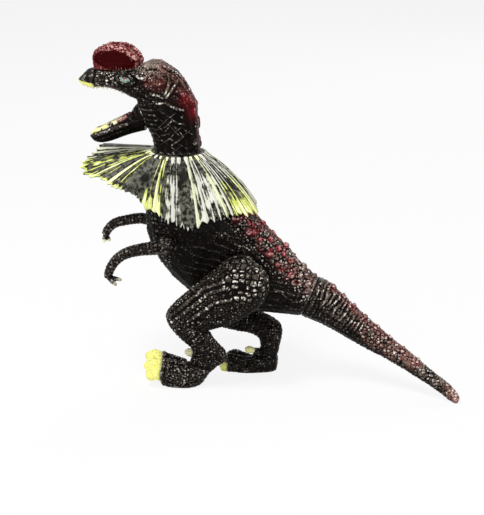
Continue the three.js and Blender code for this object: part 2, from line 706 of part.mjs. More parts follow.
function lowerJaw() {
  return loft(jawSections(), jawSegments)
    .subtract(loft(troughSections(), jawSegments))
    .add(roundAlongY(knuckleRadius, -jawHalfWidth, jawHalfWidth, ...jawHinge))
    .subtract(roundAlongY(
      jawPinRadius + turningGap, -jawHalfWidth - overrun, jawHalfWidth + overrun, ...jawHinge, pinSegments,
    ));
}

// The tongue lies in the jaw's trough, a seating gap above its floor and short of its ends.
function tongue() {
  const rows = troughSections().slice(1, -2).map(([ax, az, bx, bz, half]) => {
    const up = new THREE.Vector2(bx - ax, bz - az).normalize();
    const floor = new THREE.Vector2(ax, az).addScaledVector(up, seatGap);
    const top = floor.clone().addScaledVector(up, tongueHeight);
    return [floor.x, floor.y, top.x, top.y, half * tongueWidthShare, 0];
  });
  return loft(rows, jawSegments);
}

// A crest is drawn on its foot at the origin, upright, with its outer face towards +Y.
const crestStand = (side) => new THREE.Matrix4()
  .makeTranslation(
    neckX + crestFootShares[0] * headReach, side * crestSpread, headZ + crestFootShares[1] * headRise,
  )
  .multiply(new THREE.Matrix4().makeRotationX(-side * radians(crestLeanDegrees)))
  .multiply(new THREE.Matrix4().makeRotationZ(side === left ? Math.PI : 0));

// The tab under a crest, or with a gap its slot in the head.
function crestTab(side, gap) {
  const tab = new THREE.BoxGeometry(
    crestTabLength + 2 * gap, crestTabThickness + 2 * gap, 2 * (crestTabDepth + gap),
  );
  return solidOf(tab.applyMatrix4(crestStand(side)));
}

// The crest's outline, smooth through its shares and drawn in towards its middle for the scoop.
function crestOutline(side, scale) {
  const points = crestOutlineShares.map(([x, z]) => new THREE.Vector2(
    side * x * crestLength * scale, (crestMiddleShare + (z - crestMiddleShare) * scale) * crestHeight,
  ));
  const curve = new THREE.SplineCurve([...points, points[0]]);
  return curve.getPoints(2 * points.length).slice(0, -1).map((p) => [p.x, p.y]);
}

function crest(side) {
  const face = crestThickness / 2;
  const blank = plateGeometry(crestOutline(side, 1), -face, face);
  const scoop = plateGeometry(crestOutline(side, crestRimShare), face - crestScoop, face + overrun);
  return solidOf(blank.applyMatrix4(crestStand(side)))
    .subtract(solidOf(scoop.applyMatrix4(crestStand(side))))
    .subtract(solidOf(headSkin().translate(0, 0, seatGap)))
    .subtract(solidOf(headSkin()))
    .add(crestTab(side, 0));
}

// Ruff

// The skirt's slope in radians and its length at a heading from the front, smooth through the tables.
const ruffTable = new THREE.CatmullRomCurve3(ruffSlopeDegrees.map((slope, i) => (
  new THREE.Vector3(radians(slope), ruffLengthShares[i] * ruffLength, 0)
)), true);

// The ruff's section at one heading: places out from the neck axis and up, from the web's hole to the hem.
function ruffSection(heading, ridge) {
  const { x: slope, y: reach } = ruffTable.getPoint(heading / (2 * Math.PI));
  const length = reach + (ridge ? hemScallop : 0);
  const stations = ruffStationShares.map((share) => {
    const chord = slope * (1 - (ruffBendShare / 2) * (1 - share));
    const lie = slope * (1 + ruffBendShare * (share - 1 / 2));
    const lift = (ridge ? 1 : -1) * (pleatDepth / 2) * share;
    return {
      r: ruffRingRadius + length * share * Math.cos(chord) + lift * Math.sin(lie),
      z: ruffWebThickness - length * share * Math.sin(chord) + lift * Math.cos(lie),
      lie,
    };
  });
  const out = stations.map(({ r, z }) => [r, z]);
  const under = stations.slice(1).reverse().map(({ r, z, lie }) => [
    r - ruffThickness * Math.sin(lie), z - ruffThickness * Math.cos(lie),
  ]);
  const hole = neckPivot.shaft + turningGap;
  const web = ruffRingRadius - ruffThickness / 2;
  return [[hole, 0], [hole, ruffWebThickness], [web, ruffWebThickness], ...out, ...under, [web, 0]];
}

function ruff() {
  const steps = 2 * ruffPleatCount;
  const rings = Array.from({ length: steps }, (_, i) => {
    const heading = (2 * Math.PI * i) / steps;
    return ruffSection(heading, i % 2 === 0).map(([r, z]) => new THREE.Vector3(
      neckX - r * Math.cos(heading), -r * Math.sin(heading), ruffZ + z,
    ));
  });
  const around = rings[0].length;
  const faces = [];
  for (let i = 0; i < steps; i++) {
    const a = i * around;
    const b = ((i + 1) % steps) * around;
    for (let k = 0; k < around; k++) {
      const n = (k + 1) % around;
      faces.push(a + k, a + n, b + k, a + n, b + n, b + k);
    }
  }
  return solidOf(closedSurface(rings.flat(), faces));
}

// What lies below the surface that the figure stands on, as a box well past it.
function ground() {
  const span = 4 * (torsoReach + tailReach);
  return solidOf(new THREE.BoxGeometry(span, span, span).translate(0, 0, -hipHeight - span / 2));
}

// Tail

function tail() {
  const start = [rump[0] + tailAim.x * turningGap, rump[1] + tailAim.z * turningGap];
  const rows = sized(tailSectionShares, tailReach, tailDrop, tailHalfWidth, -tailSway)
    .map((row) => moved(row, start[0], start[1] - tailDrop));
  rows[0] = [...moved(rump, tailAim.x * turningGap, tailAim.z * turningGap).slice(0, 5), 0];
  return loft(smoothed(rows, 2), tailSegments)
    .add(joined(knobsAlong(rows, tailKnobRows, knobRadius, tailTipKnobRadius, [[0]])))
    .subtract(ground())
    .subtract(glueHole(tailPivot, turningGap, tailStand));
}

// Legs

function toeAndClaw(side, [rx, ry, rz, tx, ty, tz]) {
  const root = new THREE.Vector3(rx * legReach, side * ry * legSpread, rz * hipHeight);
  const tip = new THREE.Vector3(tx * legReach, side * ty * legSpread, tz * hipHeight);
  const clawTip = tip.clone().addScaledVector(tip.clone().sub(root).normalize(), clawLength);
  clawTip.z -= toeRadius - clawTipRadius;
  return limb([
    { at: root, radius: toeRadius },
    { at: root.clone().lerp(tip, 1 / 2), radius: toeRadius },
    { at: tip, radius: toeRadius },
    { at: tip.clone().lerp(clawTip, clawBellyShare), radius: (toeRadius + clawTipRadius) / 2 },
    { at: clawTip, radius: clawTipRadius },
  ], 1, toeSegments);
}

// What is cut from a leg's inner side, so that it passes the body with a turning gap.
function legRelief(side) {
  const face = hipHalfWidth + turningGap;
  const dish = new THREE.LatheGeometry([
    [0, 0], [thighSweepRadius, 0], [thighSweepRadius, face + thighSweepRise],
    [thighDiscRadius, face], [0, face],
  ].map(([radius, across]) => new THREE.Vector2(radius, across)), sweepSegments);
  if (side === left) dish.rotateX(Math.PI);
  return solidOf(dish);
}

function leg(side, shares, footShares, toeShares, halluxShares) {
  const sections = smoothed(sized(shares, legReach, hipHeight, legHalfWidth, side * legSpread), 2);
  const foot = sized(
    footShares.map(([x, under, top, half, across]) => [x, under, x, top, half, across]),
    legReach, hipHeight, legHalfWidth, side * legSpread,
  );
  const [hx, hy, hz] = halluxShares;
  const halluxRoot = new THREE.Vector3(hx * legReach, side * hy * legSpread, hz * hipHeight);
  const aim = new THREE.Vector3(halluxAim[0], -side * halluxAim[1], halluxAim[2]).setLength(halluxLength);
  const hallux = limb([
    { at: halluxRoot, radius: halluxRadius },
    { at: halluxRoot.clone().addScaledVector(aim, clawBellyShare), radius: halluxRadius },
    { at: halluxRoot.clone().add(aim), radius: halluxRadius / 2 },
  ], 1, fingerSegments);
  return loft(sections, legSegments)
    .subtract(legRelief(side))
    .add(loft(sections.slice(2 * shinFirstSection), legSegments))
    .add(loft(smoothed(foot, 2), legSegments))
    .add(joined(toeShares.map((toe) => toeAndClaw(side, toe))))
    .add(hallux)
    .subtract(ground())
    .subtract(glueHole(hipPivot, turningGap, hipStand(side)));
}

// Arms

function arm(side, shares, fingerShares) {
  const stops = shares.map(([x, z, across, size]) => ({
    at: new THREE.Vector3(
      shoulder[0] + x * armReach, side * across * armSpread, shoulder[1] + z * armReach,
    ),
    radius: size * armRadius,
  }));
  const wrist = stops.at(-1).at;
  const fingers = fingerShares.map(([x, z, across]) => {
    const reach = new THREE.Vector3(x, side * across, z).multiplyScalar(fingerLength);
    return limb([
      { at: wrist, radius: fingerRadius },
      { at: wrist.clone().addScaledVector(reach, clawBellyShare), radius: fingerRadius },
      { at: wrist.clone().add(reach), radius: fingerRadius / 2 },
    ], 1, fingerSegments);
  });
  const discRadius = shoulderDiscRadius - seatGap;
  const ball = new THREE.SphereGeometry(discRadius, armSegments, armSegments / 2);
  const disc = roundAlongY(
    discRadius, side * (shoulderHalfWidth + turningGap), side * armSpread, ...shoulder,
  );
  const inside = roundAlongY(2 * armReach, 0, side * (shoulderHalfWidth + turningGap), ...shoulder);
  return limb(stops, 2, armSegments)
    .add(joined(fingers))
    .add(solidOf(ball.translate(shoulder[0], side * armSpread, shoulder[1])))
    .add(disc)
    .subtract(inside)
    .subtract(glueHole(shoulderPivot, turningGap, shoulderStand(side)));
}

// The figure

const [torsoLeft, torsoRight] = torsoShells();
const [headLeft, headRight] = headHalves();
const legLeft = leg(left, leftLegShares, leftFootShares, leftToeShares, leftHalluxShares);
const legRight = leg(right, rightLegShares, rightFootShares, rightToeShares, rightHalluxShares);
const jawPin = roundAlongY(jawPinRadius, -jawPinHalfLength, jawPinHalfLength, ...jawHinge, pinSegments);

const pieces = [
  meshOf('torso_left_shell', torsoLeft, black),
  meshOf('torso_right_shell', torsoRight, black),
  meshOf('head_left_half', headLeft, black),
  meshOf('head_right_half', headRight, black),
  meshOf('lower_jaw', lowerJaw(), black),
  meshOf('tongue', tongue(), tonguePink),
  meshOf('jaw_pin', jawPin, steel),
  meshOf('crest_left', crest(left), darkRed),
  meshOf('crest_right', crest(right), darkRed),
  meshOf('neck_ruff', ruff(), yellowGreen),
  meshOf('neck_pivot', pivotPin(neckPivot, neckGap, neckStand), greyPlastic),
  meshOf('tail', tail(), black),
  meshOf('tail_pivot', pivotPin(tailPivot, turningGap, tailStand), greyPlastic),
  meshOf('leg_left', legLeft, black),
  meshOf('leg_right', legRight, black),
  meshOf('hip_pivot_left', pivotPin(hipPivot, turningGap, hipStand(left)), greyPlastic),
  meshOf('hip_pivot_right', pivotPin(hipPivot, turningGap, hipStand(right)), greyPlastic),
  meshOf('arm_left', arm(left, leftArmShares, leftFingerShares), black),
  meshOf('arm_right', arm(right, rightArmShares, rightFingerShares), black),
  meshOf('shoulder_pivot_left', pivotPin(shoulderPivot, turningGap, shoulderStand(left)), greyPlastic),
  meshOf('shoulder_pivot_right', pivotPin(shoulderPivot, turningGap, shoulderStand(right)), greyPlastic),
];

// The origin is on the ground, under the middle of the figure's box.
const figure = new THREE.Group();
figure.add(...pieces);
const box = new THREE.Box3().setFromObject(figure);
const middle = box.getCenter(new THREE.Vector3());
figure.position.set(-middle.x, -middle.y, -box.min.z);
figure.updateMatrixWorld(true);

export default figure;
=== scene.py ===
"""Dresses the toy dinosaur figure: sculpted PVC skins, a pleated ruff, painted eyes and a plain studio.

Lengths here are millimetres. Places are measured from the hip axis on the mid-plane: X towards the
tail, Y towards the figure's right side, Z up. Only the finished meshes, the lamps and the floor are in
metres. Sculpted lines are given on the left side, and most are repeated on the right.
"""

from __future__ import annotations

import json
import logging
import math
from abc import ABC, abstractmethod
from dataclasses import dataclass, field
from enum import Enum
from typing import Any, Sequence

import bmesh
import bpy
import numpy as np
from bpy.types import ID, Material, Mesh, Node, NodeSocket, NodeTree, Object
from mathutils import Matrix, Vector


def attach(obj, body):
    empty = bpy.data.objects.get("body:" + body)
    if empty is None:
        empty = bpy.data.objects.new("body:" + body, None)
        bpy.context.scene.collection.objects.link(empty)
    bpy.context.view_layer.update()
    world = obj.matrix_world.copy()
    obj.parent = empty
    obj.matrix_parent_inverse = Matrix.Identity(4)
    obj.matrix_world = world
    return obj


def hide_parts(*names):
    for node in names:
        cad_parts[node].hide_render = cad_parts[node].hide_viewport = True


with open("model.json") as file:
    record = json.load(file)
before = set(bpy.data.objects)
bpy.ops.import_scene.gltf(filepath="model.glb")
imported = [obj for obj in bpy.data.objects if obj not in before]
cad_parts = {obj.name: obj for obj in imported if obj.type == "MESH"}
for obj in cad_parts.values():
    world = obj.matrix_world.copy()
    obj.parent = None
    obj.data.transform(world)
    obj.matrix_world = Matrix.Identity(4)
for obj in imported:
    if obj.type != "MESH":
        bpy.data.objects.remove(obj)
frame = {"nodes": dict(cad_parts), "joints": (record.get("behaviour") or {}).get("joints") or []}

log = logging.getLogger("dinosaur")
MM = 0.001
Array = np.ndarray
Pair = tuple[float, float]
Point = tuple[float, float, float]
Path = tuple[Point, ...]


class Side(Enum):
    """The figure's own sides, as signs along Y."""

    LEFT = -1
    RIGHT = 1

    @property
    def label(self) -> str:
        """Gives the side's name as nodes and pieces spell it."""
        return self.name.lower()

    @property
    def outward(self) -> Array:
        """Gives the way out of the figure on this side."""
        return np.array([0.0, float(self.value), 0.0])


# Frame places


def joint_place(name: str) -> Array:
    """Gives a joint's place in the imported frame, in millimetres."""
    joint = next(j for j in frame["joints"] if j["name"] == name)
    return np.array(joint["pos_m"]) / MM


HIP = (joint_place("left_hip") + joint_place("right_hip")) / 2
NECK = joint_place("neck_turn") - HIP
TAIL_ROOT = joint_place("tail_turn") - HIP
JAW_HINGE = joint_place("jaw_hinge") - HIP
SHOULDER = (joint_place("left_shoulder") + joint_place("right_shoulder")) / 2 - HIP
TAIL_AIM = np.array((0.92338, 0.0, -0.38389))


# Fields over points


def smoothstep(low: float, high: float, value: Array) -> Array:
    """Rises from 0 at low to 1 at high, with level ends."""
    t = np.clip((value - low) / (high - low), 0.0, 1.0)
    return t * t * (3.0 - 2.0 * t)


def falloff(low: float, high: float, value: Array) -> Array:
    """Falls from 1 at low to 0 at high, with level ends."""
    return 1.0 - smoothstep(low, high, value)


def hump(value: Array, width: float) -> Array:
    """Gives 1 at zero and nearly nothing past the width."""
    return np.exp(-((1.6 * value / width) ** 2))


def scattered(cells: Array, seed: int, count: int) -> Array:
    """Gives fixed pseudo-random numbers for whole-numbered cells.

    Args:
        cells: whole numbers, one row of three for each cell.
        seed: picks one of many such fields.
        count: how many numbers each cell gets.

    Returns:
        Numbers from 0 to 1, count of them for each cell.
    """
    x, y, z = (cells[..., i].astype(np.int64) for i in range(3))
    state = (x * 73856093) ^ (y * 19349663) ^ (z * 83492791) ^ (seed * 374761393)
    rows = []
    for _ in range(count):
        state = (state ^ (state >> 13)) * 1274126177 & 0xFFFFFFFF
        state = (state ^ (state >> 16)) * 668265263 & 0xFFFFFFFF
        rows.append((state >> 8) / float(1 << 24))
    return np.stack(rows, -1)


def noise(points: Array, size: float, seed: int) -> Array:
    """Gives smooth random values.

    Args:
        points: places in millimetres.
        size: how far apart the bumps are.
        seed: picks one of many such fields.

    Returns:
        A number from -1 to 1 for each point.
    """
    scaled = points / size
    base = np.floor(scaled)
    part = scaled - base
    part = part * part * (3.0 - 2.0 * part)
    total = np.zeros(len(points))
    for corner in np.ndindex(2, 2, 2):
        share = np.prod(np.where(corner, part, 1.0 - part), axis=1)
        total += share * scattered(base + corner, seed, 1)[:, 0]
    return 2.0 * total - 1.0


def cells(points: Array, spacing: float, seed: int) -> tuple[Array, Array]:
    """Divides space into irregular cells, as packed pebbles or scales are.

    Args:
        points: places in millimetres.
        spacing: mean distance between cell middles.
        seed: picks the arrangement.

    Returns:
        The distance to the nearest middle, and the distance to the next one.
    """
    base = np.floor(points / spacing)
    nearest = np.full(len(points), np.inf)
    second = np.full(len(points), np.inf)
    for corner in np.ndindex(3, 3, 3):
        cell = base + np.array(corner) - 1
        draw = scattered(cell, seed, 3)
        distance = np.linalg.norm(points - (cell + 0.15 + 0.7 * draw) * spacing, axis=1)
        second = np.minimum(second, np.maximum(nearest, distance))
        nearest = np.minimum(nearest, distance)
    return nearest, second


def along_path(points: Array, path: Sequence[Point] | Array) -> tuple[Array, Array]:
    """Measures points against a path.

    Args:
        points: places in millimetres.
        path: the path's corners.

    Returns:
        Each point's distance to the path, and how far along the path it lies.
    """
    path = np.array(path, float)
    best = np.full(len(points), np.inf)
    reach = np.zeros(len(points))
    passed = 0.0
    for start, end in zip(path[:-1], path[1:]):
        span = end - start
        length = float(np.linalg.norm(span))
        share = np.clip((points - start) @ span / length**2, 0.0, 1.0)
        distance = np.linalg.norm(points - start - share[:, None] * span, axis=1)
        closer = distance < best
        best = np.where(closer, distance, best)
        reach = np.where(closer, passed + share * length, reach)
        passed += length
    return best, reach


def from_axis(points: Array, place: Sequence[float] = (0.0, 0.0, 0.0)) -> Array:
    """Gives distances to the side-to-side axis through a place, which is the hip axis if none is given."""
    return np.hypot(points[:, 0] - place[0], points[:, 2] - place[2])


def spaced(path: Sequence[Point], spacing: float) -> list[Point]:
    """Gives places at even steps along a path.

    Args:
        path: the path's corners.
        spacing: the length of a step.

    Returns:
        The places, from the path's start on.
    """
    line = np.array(path, float)
    passed = np.concatenate([[0.0], np.cumsum(np.linalg.norm(np.diff(line, axis=0), axis=1))])
    stops = np.arange(0.0, passed[-1] + 0.01, spacing)
    return [tuple(float(np.interp(s, passed, line[:, i])) for i in range(3)) for s in stops]


def mirrored(places: Sequence[Point]) -> list[Array]:
    """Gives places on the left side as an array, and the same ones on the right side."""
    left = np.array(places, float)
    return [left, left * (1.0, -1.0, 1.0)]


def turned(places: Sequence[Point], degrees: float) -> list[Point]:
    """Swings places about the hip axis.

    Args:
        places: what is swung.
        degrees: how far, and positive swings the snout's side down.

    Returns:
        The places after the swing.
    """
    turn = math.radians(degrees)
    cos, sin = math.cos(turn), math.sin(turn)
    return [(x * cos - z * sin, y, x * sin + z * cos) for x, y, z in places]


@dataclass(frozen=True)
class Patch:
    """An oval region of the side view, with a soft edge."""

    middle: Pair
    half: Pair
    turn: float = 0.0
    edge: float = 0.25

    def weight(self, points: Array) -> Array:
        """Gives how much of each point the region has.

        Args:
            points: places in millimetres.

        Returns:
            1 well inside the oval, 0 outside it.
        """
        turn = math.radians(self.turn)
        x, z = points[:, 0] - self.middle[0], points[:, 2] - self.middle[1]
        across = (x * math.cos(turn) + z * math.sin(turn)) / self.half[0]
        up = (z * math.cos(turn) - x * math.sin(turn)) / self.half[1]
        return falloff(1.0 - self.edge, 1.0 + self.edge, np.hypot(across, up))


# Castings


@dataclass
class Plug:
    """A disc that stops a hole while a skin is cast: its outer face, the way it looks, and its size."""

    place: Array
    outward: Array
    radius: float
    depth: float = 2.5

    def add_to(self, shell: bmesh.types.BMesh) -> None:
        """Adds the disc to a mesh.

        Args:
            shell: the mesh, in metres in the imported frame.
        """
        middle = (self.place - self.outward * self.depth / 2 + HIP) * MM
        turn = Vector(self.outward).to_track_quat("Z", "Y").to_matrix().to_4x4()
        bmesh.ops.create_cone(
            shell, cap_ends=True, segments=24, radius1=self.radius * MM, radius2=self.radius * MM,
            depth=self.depth * MM, matrix=Matrix.Translation(middle) @ turn,
        )


@dataclass
class Swelling:
    """An egg-shaped lump that is cast together with a skin: its middle and its half lengths."""

    middle: Point
    half: Point

    def add_to(self, shell: bmesh.types.BMesh) -> None:
        """Adds the lump to a mesh.

        Args:
            shell: the mesh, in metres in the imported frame.
        """
        place = Matrix.Translation((np.array(self.middle) + HIP) * MM)
        size = Matrix.Diagonal((*(h * MM for h in self.half), 1.0))
        bmesh.ops.create_icosphere(shell, subdivisions=3, radius=1.0, matrix=place @ size)

    def inside(self, points: Array) -> Array:
        """Gives how far out points lie, with 1 on the lump's surface."""
        return np.linalg.norm((points - self.middle) / self.half, axis=1)


@dataclass
class Casting:
    """One fine closed skin, sculpted by moving its points along their normals.

    Marks are values for each point that the paints read: how far a point stands up from the skin
    round it, and how strongly each paint lies on it.
    """

    name: str
    mesh: Mesh
    points: Array
    edges: Array
    height: Array
    grain: float
    marks: dict[str, Array] = field(default_factory=dict)

    @classmethod
    def over(cls, name: str, nodes: Sequence[str], grain: float,
             fillings: Sequence[Plug | Swelling] = ()) -> Casting:
        """Casts a skin over CAD nodes.

        Args:
            name: the finished piece's name.
            nodes: CAD nodes that the skin goes over as one body.
            grain: spacing of the skin's points.
            fillings: lumps to cast with them, and stops for holes that lead into a hollow.

        Returns:
            The casting, still without any sculpting.
        """
        shell = bmesh.new()
        for node_name in nodes:
            shell.from_mesh(frame["nodes"][node_name].data)
        for filling in fillings:
            filling.add_to(shell)
        raw = bpy.data.meshes.new(name + "_raw")
        shell.to_mesh(raw)
        shell.free()
        blank = linked(name + "_blank", raw)
        remesh = blank.modifiers.new("skin", "REMESH")
        remesh.mode = "VOXEL"
        remesh.voxel_size = grain * MM
        graph = bpy.context.evaluated_depsgraph_get()
        mesh = bpy.data.meshes.new_from_object(blank.evaluated_get(graph))
        bpy.data.objects.remove(blank)
        bpy.data.meshes.remove(raw)
        mesh.name = name
        keep_largest_island(mesh)
        count = len(mesh.vertices)
        points = np.empty(count * 3)
        mesh.vertices.foreach_get("co", points)
        return cls(name, mesh, points.reshape(-1, 3) / MM - HIP, edge_ends(mesh), np.zeros(count), grain)

    def averaged(self, values: Array) -> Array:
        """Spreads values over the skin by one step.

        Args:
            values: a number, or a row of them, for each point.

        Returns:
            The mean of each point's neighbours.
        """
        a, b = self.edges.T
        count = len(self.points)
        degree = np.maximum(np.bincount(a, minlength=count) + np.bincount(b, minlength=count), 1)
        flat = values.reshape(count, -1)
        total = np.stack([np.bincount(a, c[b], count) + np.bincount(b, c[a], count) for c in flat.T], axis=1)
        return (total / degree[:, None]).reshape(values.shape)

    def smooth(self, reach: float, hold: Array | float = 1.0) -> None:
        """Takes the CAD solid's flat faces out of the skin, without shrinking it.

        Args:
            reach: how wide a flat face is smoothed away.
            hold: how freely each point moves, from 0 to 1.
        """
        free = np.broadcast_to(hold, len(self.points))[:, None]
        for _ in range(round((reach / self.grain) ** 2)):
            for step in (0.55, -0.57):
                self.points = self.points + step * free * (self.averaged(self.points) - self.points)

    def store(self) -> None:
        """Writes the points into the mesh."""
        self.mesh.vertices.foreach_set("co", ((self.points + HIP) * MM).ravel())
        self.mesh.update()

    def normals(self) -> Array:
        """Measures the skin's directions.

        Returns:
            The way outward at each point.
        """
        self.store()
        found = np.empty(len(self.points) * 3)
        self.mesh.vertex_normals.foreach_get("vector", found)
        return found.reshape(-1, 3)

    def press(self, room: Array | float = 1.0) -> None:
        """Moves the points out by the sculpted height, and marks what stands up.

        Args:
            room: share of the height that each point has room for.
        """
        self.points = self.points + self.normals() * (self.height * room)[:, None]
        outward = self.normals()
        wide = self.points
        for _ in range(round((1.25 / self.grain) ** 2)):
            wide = self.averaged(wide)
        self.marks["raised"] = np.einsum("ij,ij->i", self.points - wide, outward)

    def near(self, path: Sequence[Point], width: float, both: bool = True) -> Array:
        """Gives 1 on a line, falling to nothing at its width.

        Args:
            path: places along the line on the left side.
            width: distance from the line at which it has nearly died out.
            both: whether the right side gets the same line.

        Returns:
            How much of the line each point has.
        """
        total = np.zeros(len(self.points))
        for line in mirrored(path)[: 2 if both else 1]:
            close = np.all(
                (self.points > line.min(0) - 2 * width) & (self.points < line.max(0) + 2 * width), axis=1,
            )
            distance, _ = along_path(self.points[close], line)
            total[close] = np.maximum(total[close], hump(distance, width))
        return total

    def stroke(self, path: Sequence[Point], width: float, height: float, both: bool = True) -> None:
        """Raises a rounded line along a path, or cuts one where the height is negative."""
        self.height += height * self.near(path, width, both)

    def domes(self, places: Sequence[Point], radius: float, height: float, both: bool = True) -> Array:
        """Raises round bumps.

        Args:
            places: the bumps' middles on the left side.
            radius: each one's radius.
            height: how far its middle stands up.
            both: whether the right side gets the same bumps.

        Returns:
            How much of a bump each point has.
        """
        total = np.zeros(len(self.points))
        for group in mirrored(places)[: 2 if both else 1]:
            for place in group:
                close = np.all(np.abs(self.points - place) < radius, axis=1)
                distance = np.linalg.norm(self.points[close] - place, axis=1) / radius
                total[close] = np.maximum(total[close], np.sqrt(np.clip(1.0 - distance**2, 0.0, 1.0)))
        self.height += height * total
        return total

    def pebbles(self, spacing: float, height: float, seed: int, where: Array | float = 1.0,
                stretch: Point = (1.0, 1.0, 1.0)) -> None:
        """Covers the skin with packed pebbles.

        Args:
            spacing: mean distance between them.
            height: how far they stand up from the creases.
            seed: picks the arrangement.
            where: how strongly each point has them.
            stretch: how much longer they are along each axis.
        """
        first, second = cells(self.points / np.array(stretch), spacing, seed)
        dome = 1.0 - np.clip(first / (0.75 * spacing), 0.0, 1.0) ** 2
        self.height += height * smoothstep(0.0, 0.4 * spacing, second - first) * (0.4 + 0.6 * dome) * where

    def mark(self, name: str, value: Array | float) -> None:
        """Stores a value for the paints, or takes the larger one where there is one."""
        value = np.clip(np.broadcast_to(value, len(self.points)), 0.0, 1.0)
        self.marks[name] = np.maximum(self.marks.get(name, 0.0), value)

    def finished(self, finish: Finish) -> Mesh:
        """Writes points, marks and material into the mesh.

        Args:
            finish: what the skin is painted with.

        Returns:
            The mesh.
        """
        self.store()
        write_marks(self.mesh, finish, self.marks)
        return self.mesh


def write_marks(mesh: Mesh, finish: Finish, marks: dict[str, Array]) -> None:
    """Gives a mesh its finish, and the marks that the finish reads.

    Args:
        mesh: the mesh.
        finish: its surface.
        marks: a number for each point, by the marks' names. A missing mark is 0 everywhere.
    """
    for name in finish.reads:
        layer = mesh.attributes.new(name, "FLOAT", "POINT")
        values = np.broadcast_to(marks.get(name, 0.0), len(mesh.vertices))
        layer.data.foreach_set("value", np.ascontiguousarray(values, np.float32))
    mesh.materials.clear()
    mesh.materials.append(finish.material())
    mesh.shade_smooth()


def edge_ends(mesh: Mesh) -> Array:
    """Reads a mesh's edges.

    Args:
        mesh: the mesh.

    Returns:
        The numbers of each edge's two points, one row for each edge.
    """
    ends = np.empty(len(mesh.edges) * 2, np.int64)
    mesh.edges.foreach_get("vertices", ends)
    return ends.reshape(-1, 2)


def keep_largest_island(mesh: Mesh) -> None:
    """Deletes all but the largest connected part of a mesh.

    Args:
        mesh: the mesh.
    """
    a, b = edge_ends(mesh).T
    label = np.arange(len(mesh.vertices))
    while True:
        low = np.minimum(label[a], label[b])
        new = label.copy()
        np.minimum.at(new, a, low)
        np.minimum.at(new, b, low)
        new = new[new]
        if np.array_equal(new, label):
            break
        label = new
    kept = np.bincount(label).argmax()
    loose = np.flatnonzero(label != kept)
    if len(loose):
        shell = bmesh.new()
        shell.from_mesh(mesh)
        shell.verts.ensure_lookup_table()
        bmesh.ops.delete(shell, geom=[shell.verts[i] for i in loose], context="VERTS")
        shell.to_mesh(mesh)
        shell.free()


def halved(mesh: Mesh, name: str, side: Side) -> Mesh:
    """Cuts a closed mesh at the mid-plane and closes the cut.

    Args:
        mesh: the whole mesh.
        name: the half's name.
        side: which half is kept.

    Returns:
        The half, as a new mesh.
    """
    shell = bmesh.new()
    shell.from_mesh(mesh)
    geometry = shell.verts[:] + shell.edges[:] + shell.faces[:]
    place = Vector((0.0, HIP[1] * MM, 0.0))
    cut = bmesh.ops.bisect_plane(
        shell, geom=geometry, plane_co=place, plane_no=(0.0, -side.value, 0.0), clear_outer=True,
    )
    rim = [e for e in cut["geom_cut"] if isinstance(e, bmesh.types.BMEdge) and e.is_boundary]
    bmesh.ops.triangle_fill(shell, edges=rim, use_beauty=True, normal=(0.0, -side.value, 0.0))
    half = bpy.data.meshes.new(name)
    shell.to_mesh(half)
    shell.free()
    for material in mesh.materials:
        half.materials.append(material)
    return half


def plain_mesh(name: str, points: Array, faces: Sequence[Sequence[int]]) -> Mesh:
    """Makes a mesh.

    Args:
        name: the mesh's name.
        points: places in millimetres from the hip axis.
        faces: the numbers of each face's points.

    Returns:
        The mesh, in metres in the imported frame.
    """
    mesh = bpy.data.meshes.new(name)
    mesh.from_pydata(((points + HIP) * MM).tolist(), [], [list(face) for face in faces])
    mesh.update()
    return mesh


def linked(name: str, data: ID) -> Object:
    """Puts a mesh, camera or light into the scene.

    Args:
        name: the object's name.
        data: what it holds.

    Returns:
        The object.
    """
    made = bpy.data.objects.new(name, data)
    bpy.context.scene.collection.objects.link(made)
    return made


def show(mesh: Mesh, name: str, body: str, nodes: Sequence[str] = ()) -> None:
    """Puts a finished mesh into the scene as a piece of the figure.

    Args:
        mesh: the mesh in metres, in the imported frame.
        name: the piece's name.
        body: the CAD body that it moves with.
        nodes: the CAD nodes that it stands for.
    """
    piece = linked(name, mesh)
    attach(piece, body)
    if nodes:
        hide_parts(*nodes)
    log.info("%s: %d faces on %s", name, len(mesh.polygons), body)


def show_half(whole: Mesh, side: Side, body: str, kind: str) -> None:
    """Puts one half of a skin into the scene.

    Args:
        whole: the closed skin.
        side: which half is shown.
        body: the CAD body that it moves with, whose name it has too.
        kind: what the CAD calls such a half.
    """
    name = f"{body}_{side.label}_skin"
    show(halved(whole, name, side), name, body, [f"{body}_{side.label}_{kind}"])


# Finishes


def linear(hex_colour: str) -> tuple[float, float, float, float]:
    """Turns an sRGB hex value into a linear colour with full alpha."""
    parts = [int(hex_colour[i:i + 2], 16) / 255 for i in (1, 3, 5)]
    return (*[p / 12.92 if p <= 0.04045 else ((p + 0.055) / 1.055) ** 2.4 for p in parts], 1.0)


def node(tree: NodeTree, kind: str, inputs: dict[str | int, Any] | None = None,
         **settings: Any) -> Node:
    """Adds a node with its settings, values and links.

    Args:
        tree: the material's or world's node tree.
        kind: the node's Blender type, without the word ShaderNode that they all start with.
        inputs: for each input's name or number, a value or the output socket that feeds it.
        **settings: the node's own properties.

    Returns:
        The new node.
    """
    made = tree.nodes.new("ShaderNode" + kind)
    for key, value in settings.items():
        setattr(made, key, value)
    for key, value in (inputs or {}).items():
        if isinstance(value, NodeSocket):
            tree.links.new(value, made.inputs[key])
        else:
            made.inputs[key].default_value = value
    return made


def background_rays(tree: NodeTree) -> NodeSocket:
    """Adds the test for rays that see the background: the camera's, and those off or through gloss.

    Args:
        tree: the material's or world's node tree.

    Returns:
        The socket that gives 1 for such a ray.
    """
    rays = node(tree, "LightPath").outputs
    found = rays["Is Camera Ray"]
    for kind in ("Is Glossy Ray", "Is Transmission Ray"):
        found = node(tree, "Math", {0: found, 1: rays[kind]}, operation="MAXIMUM").outputs[0]
    return found


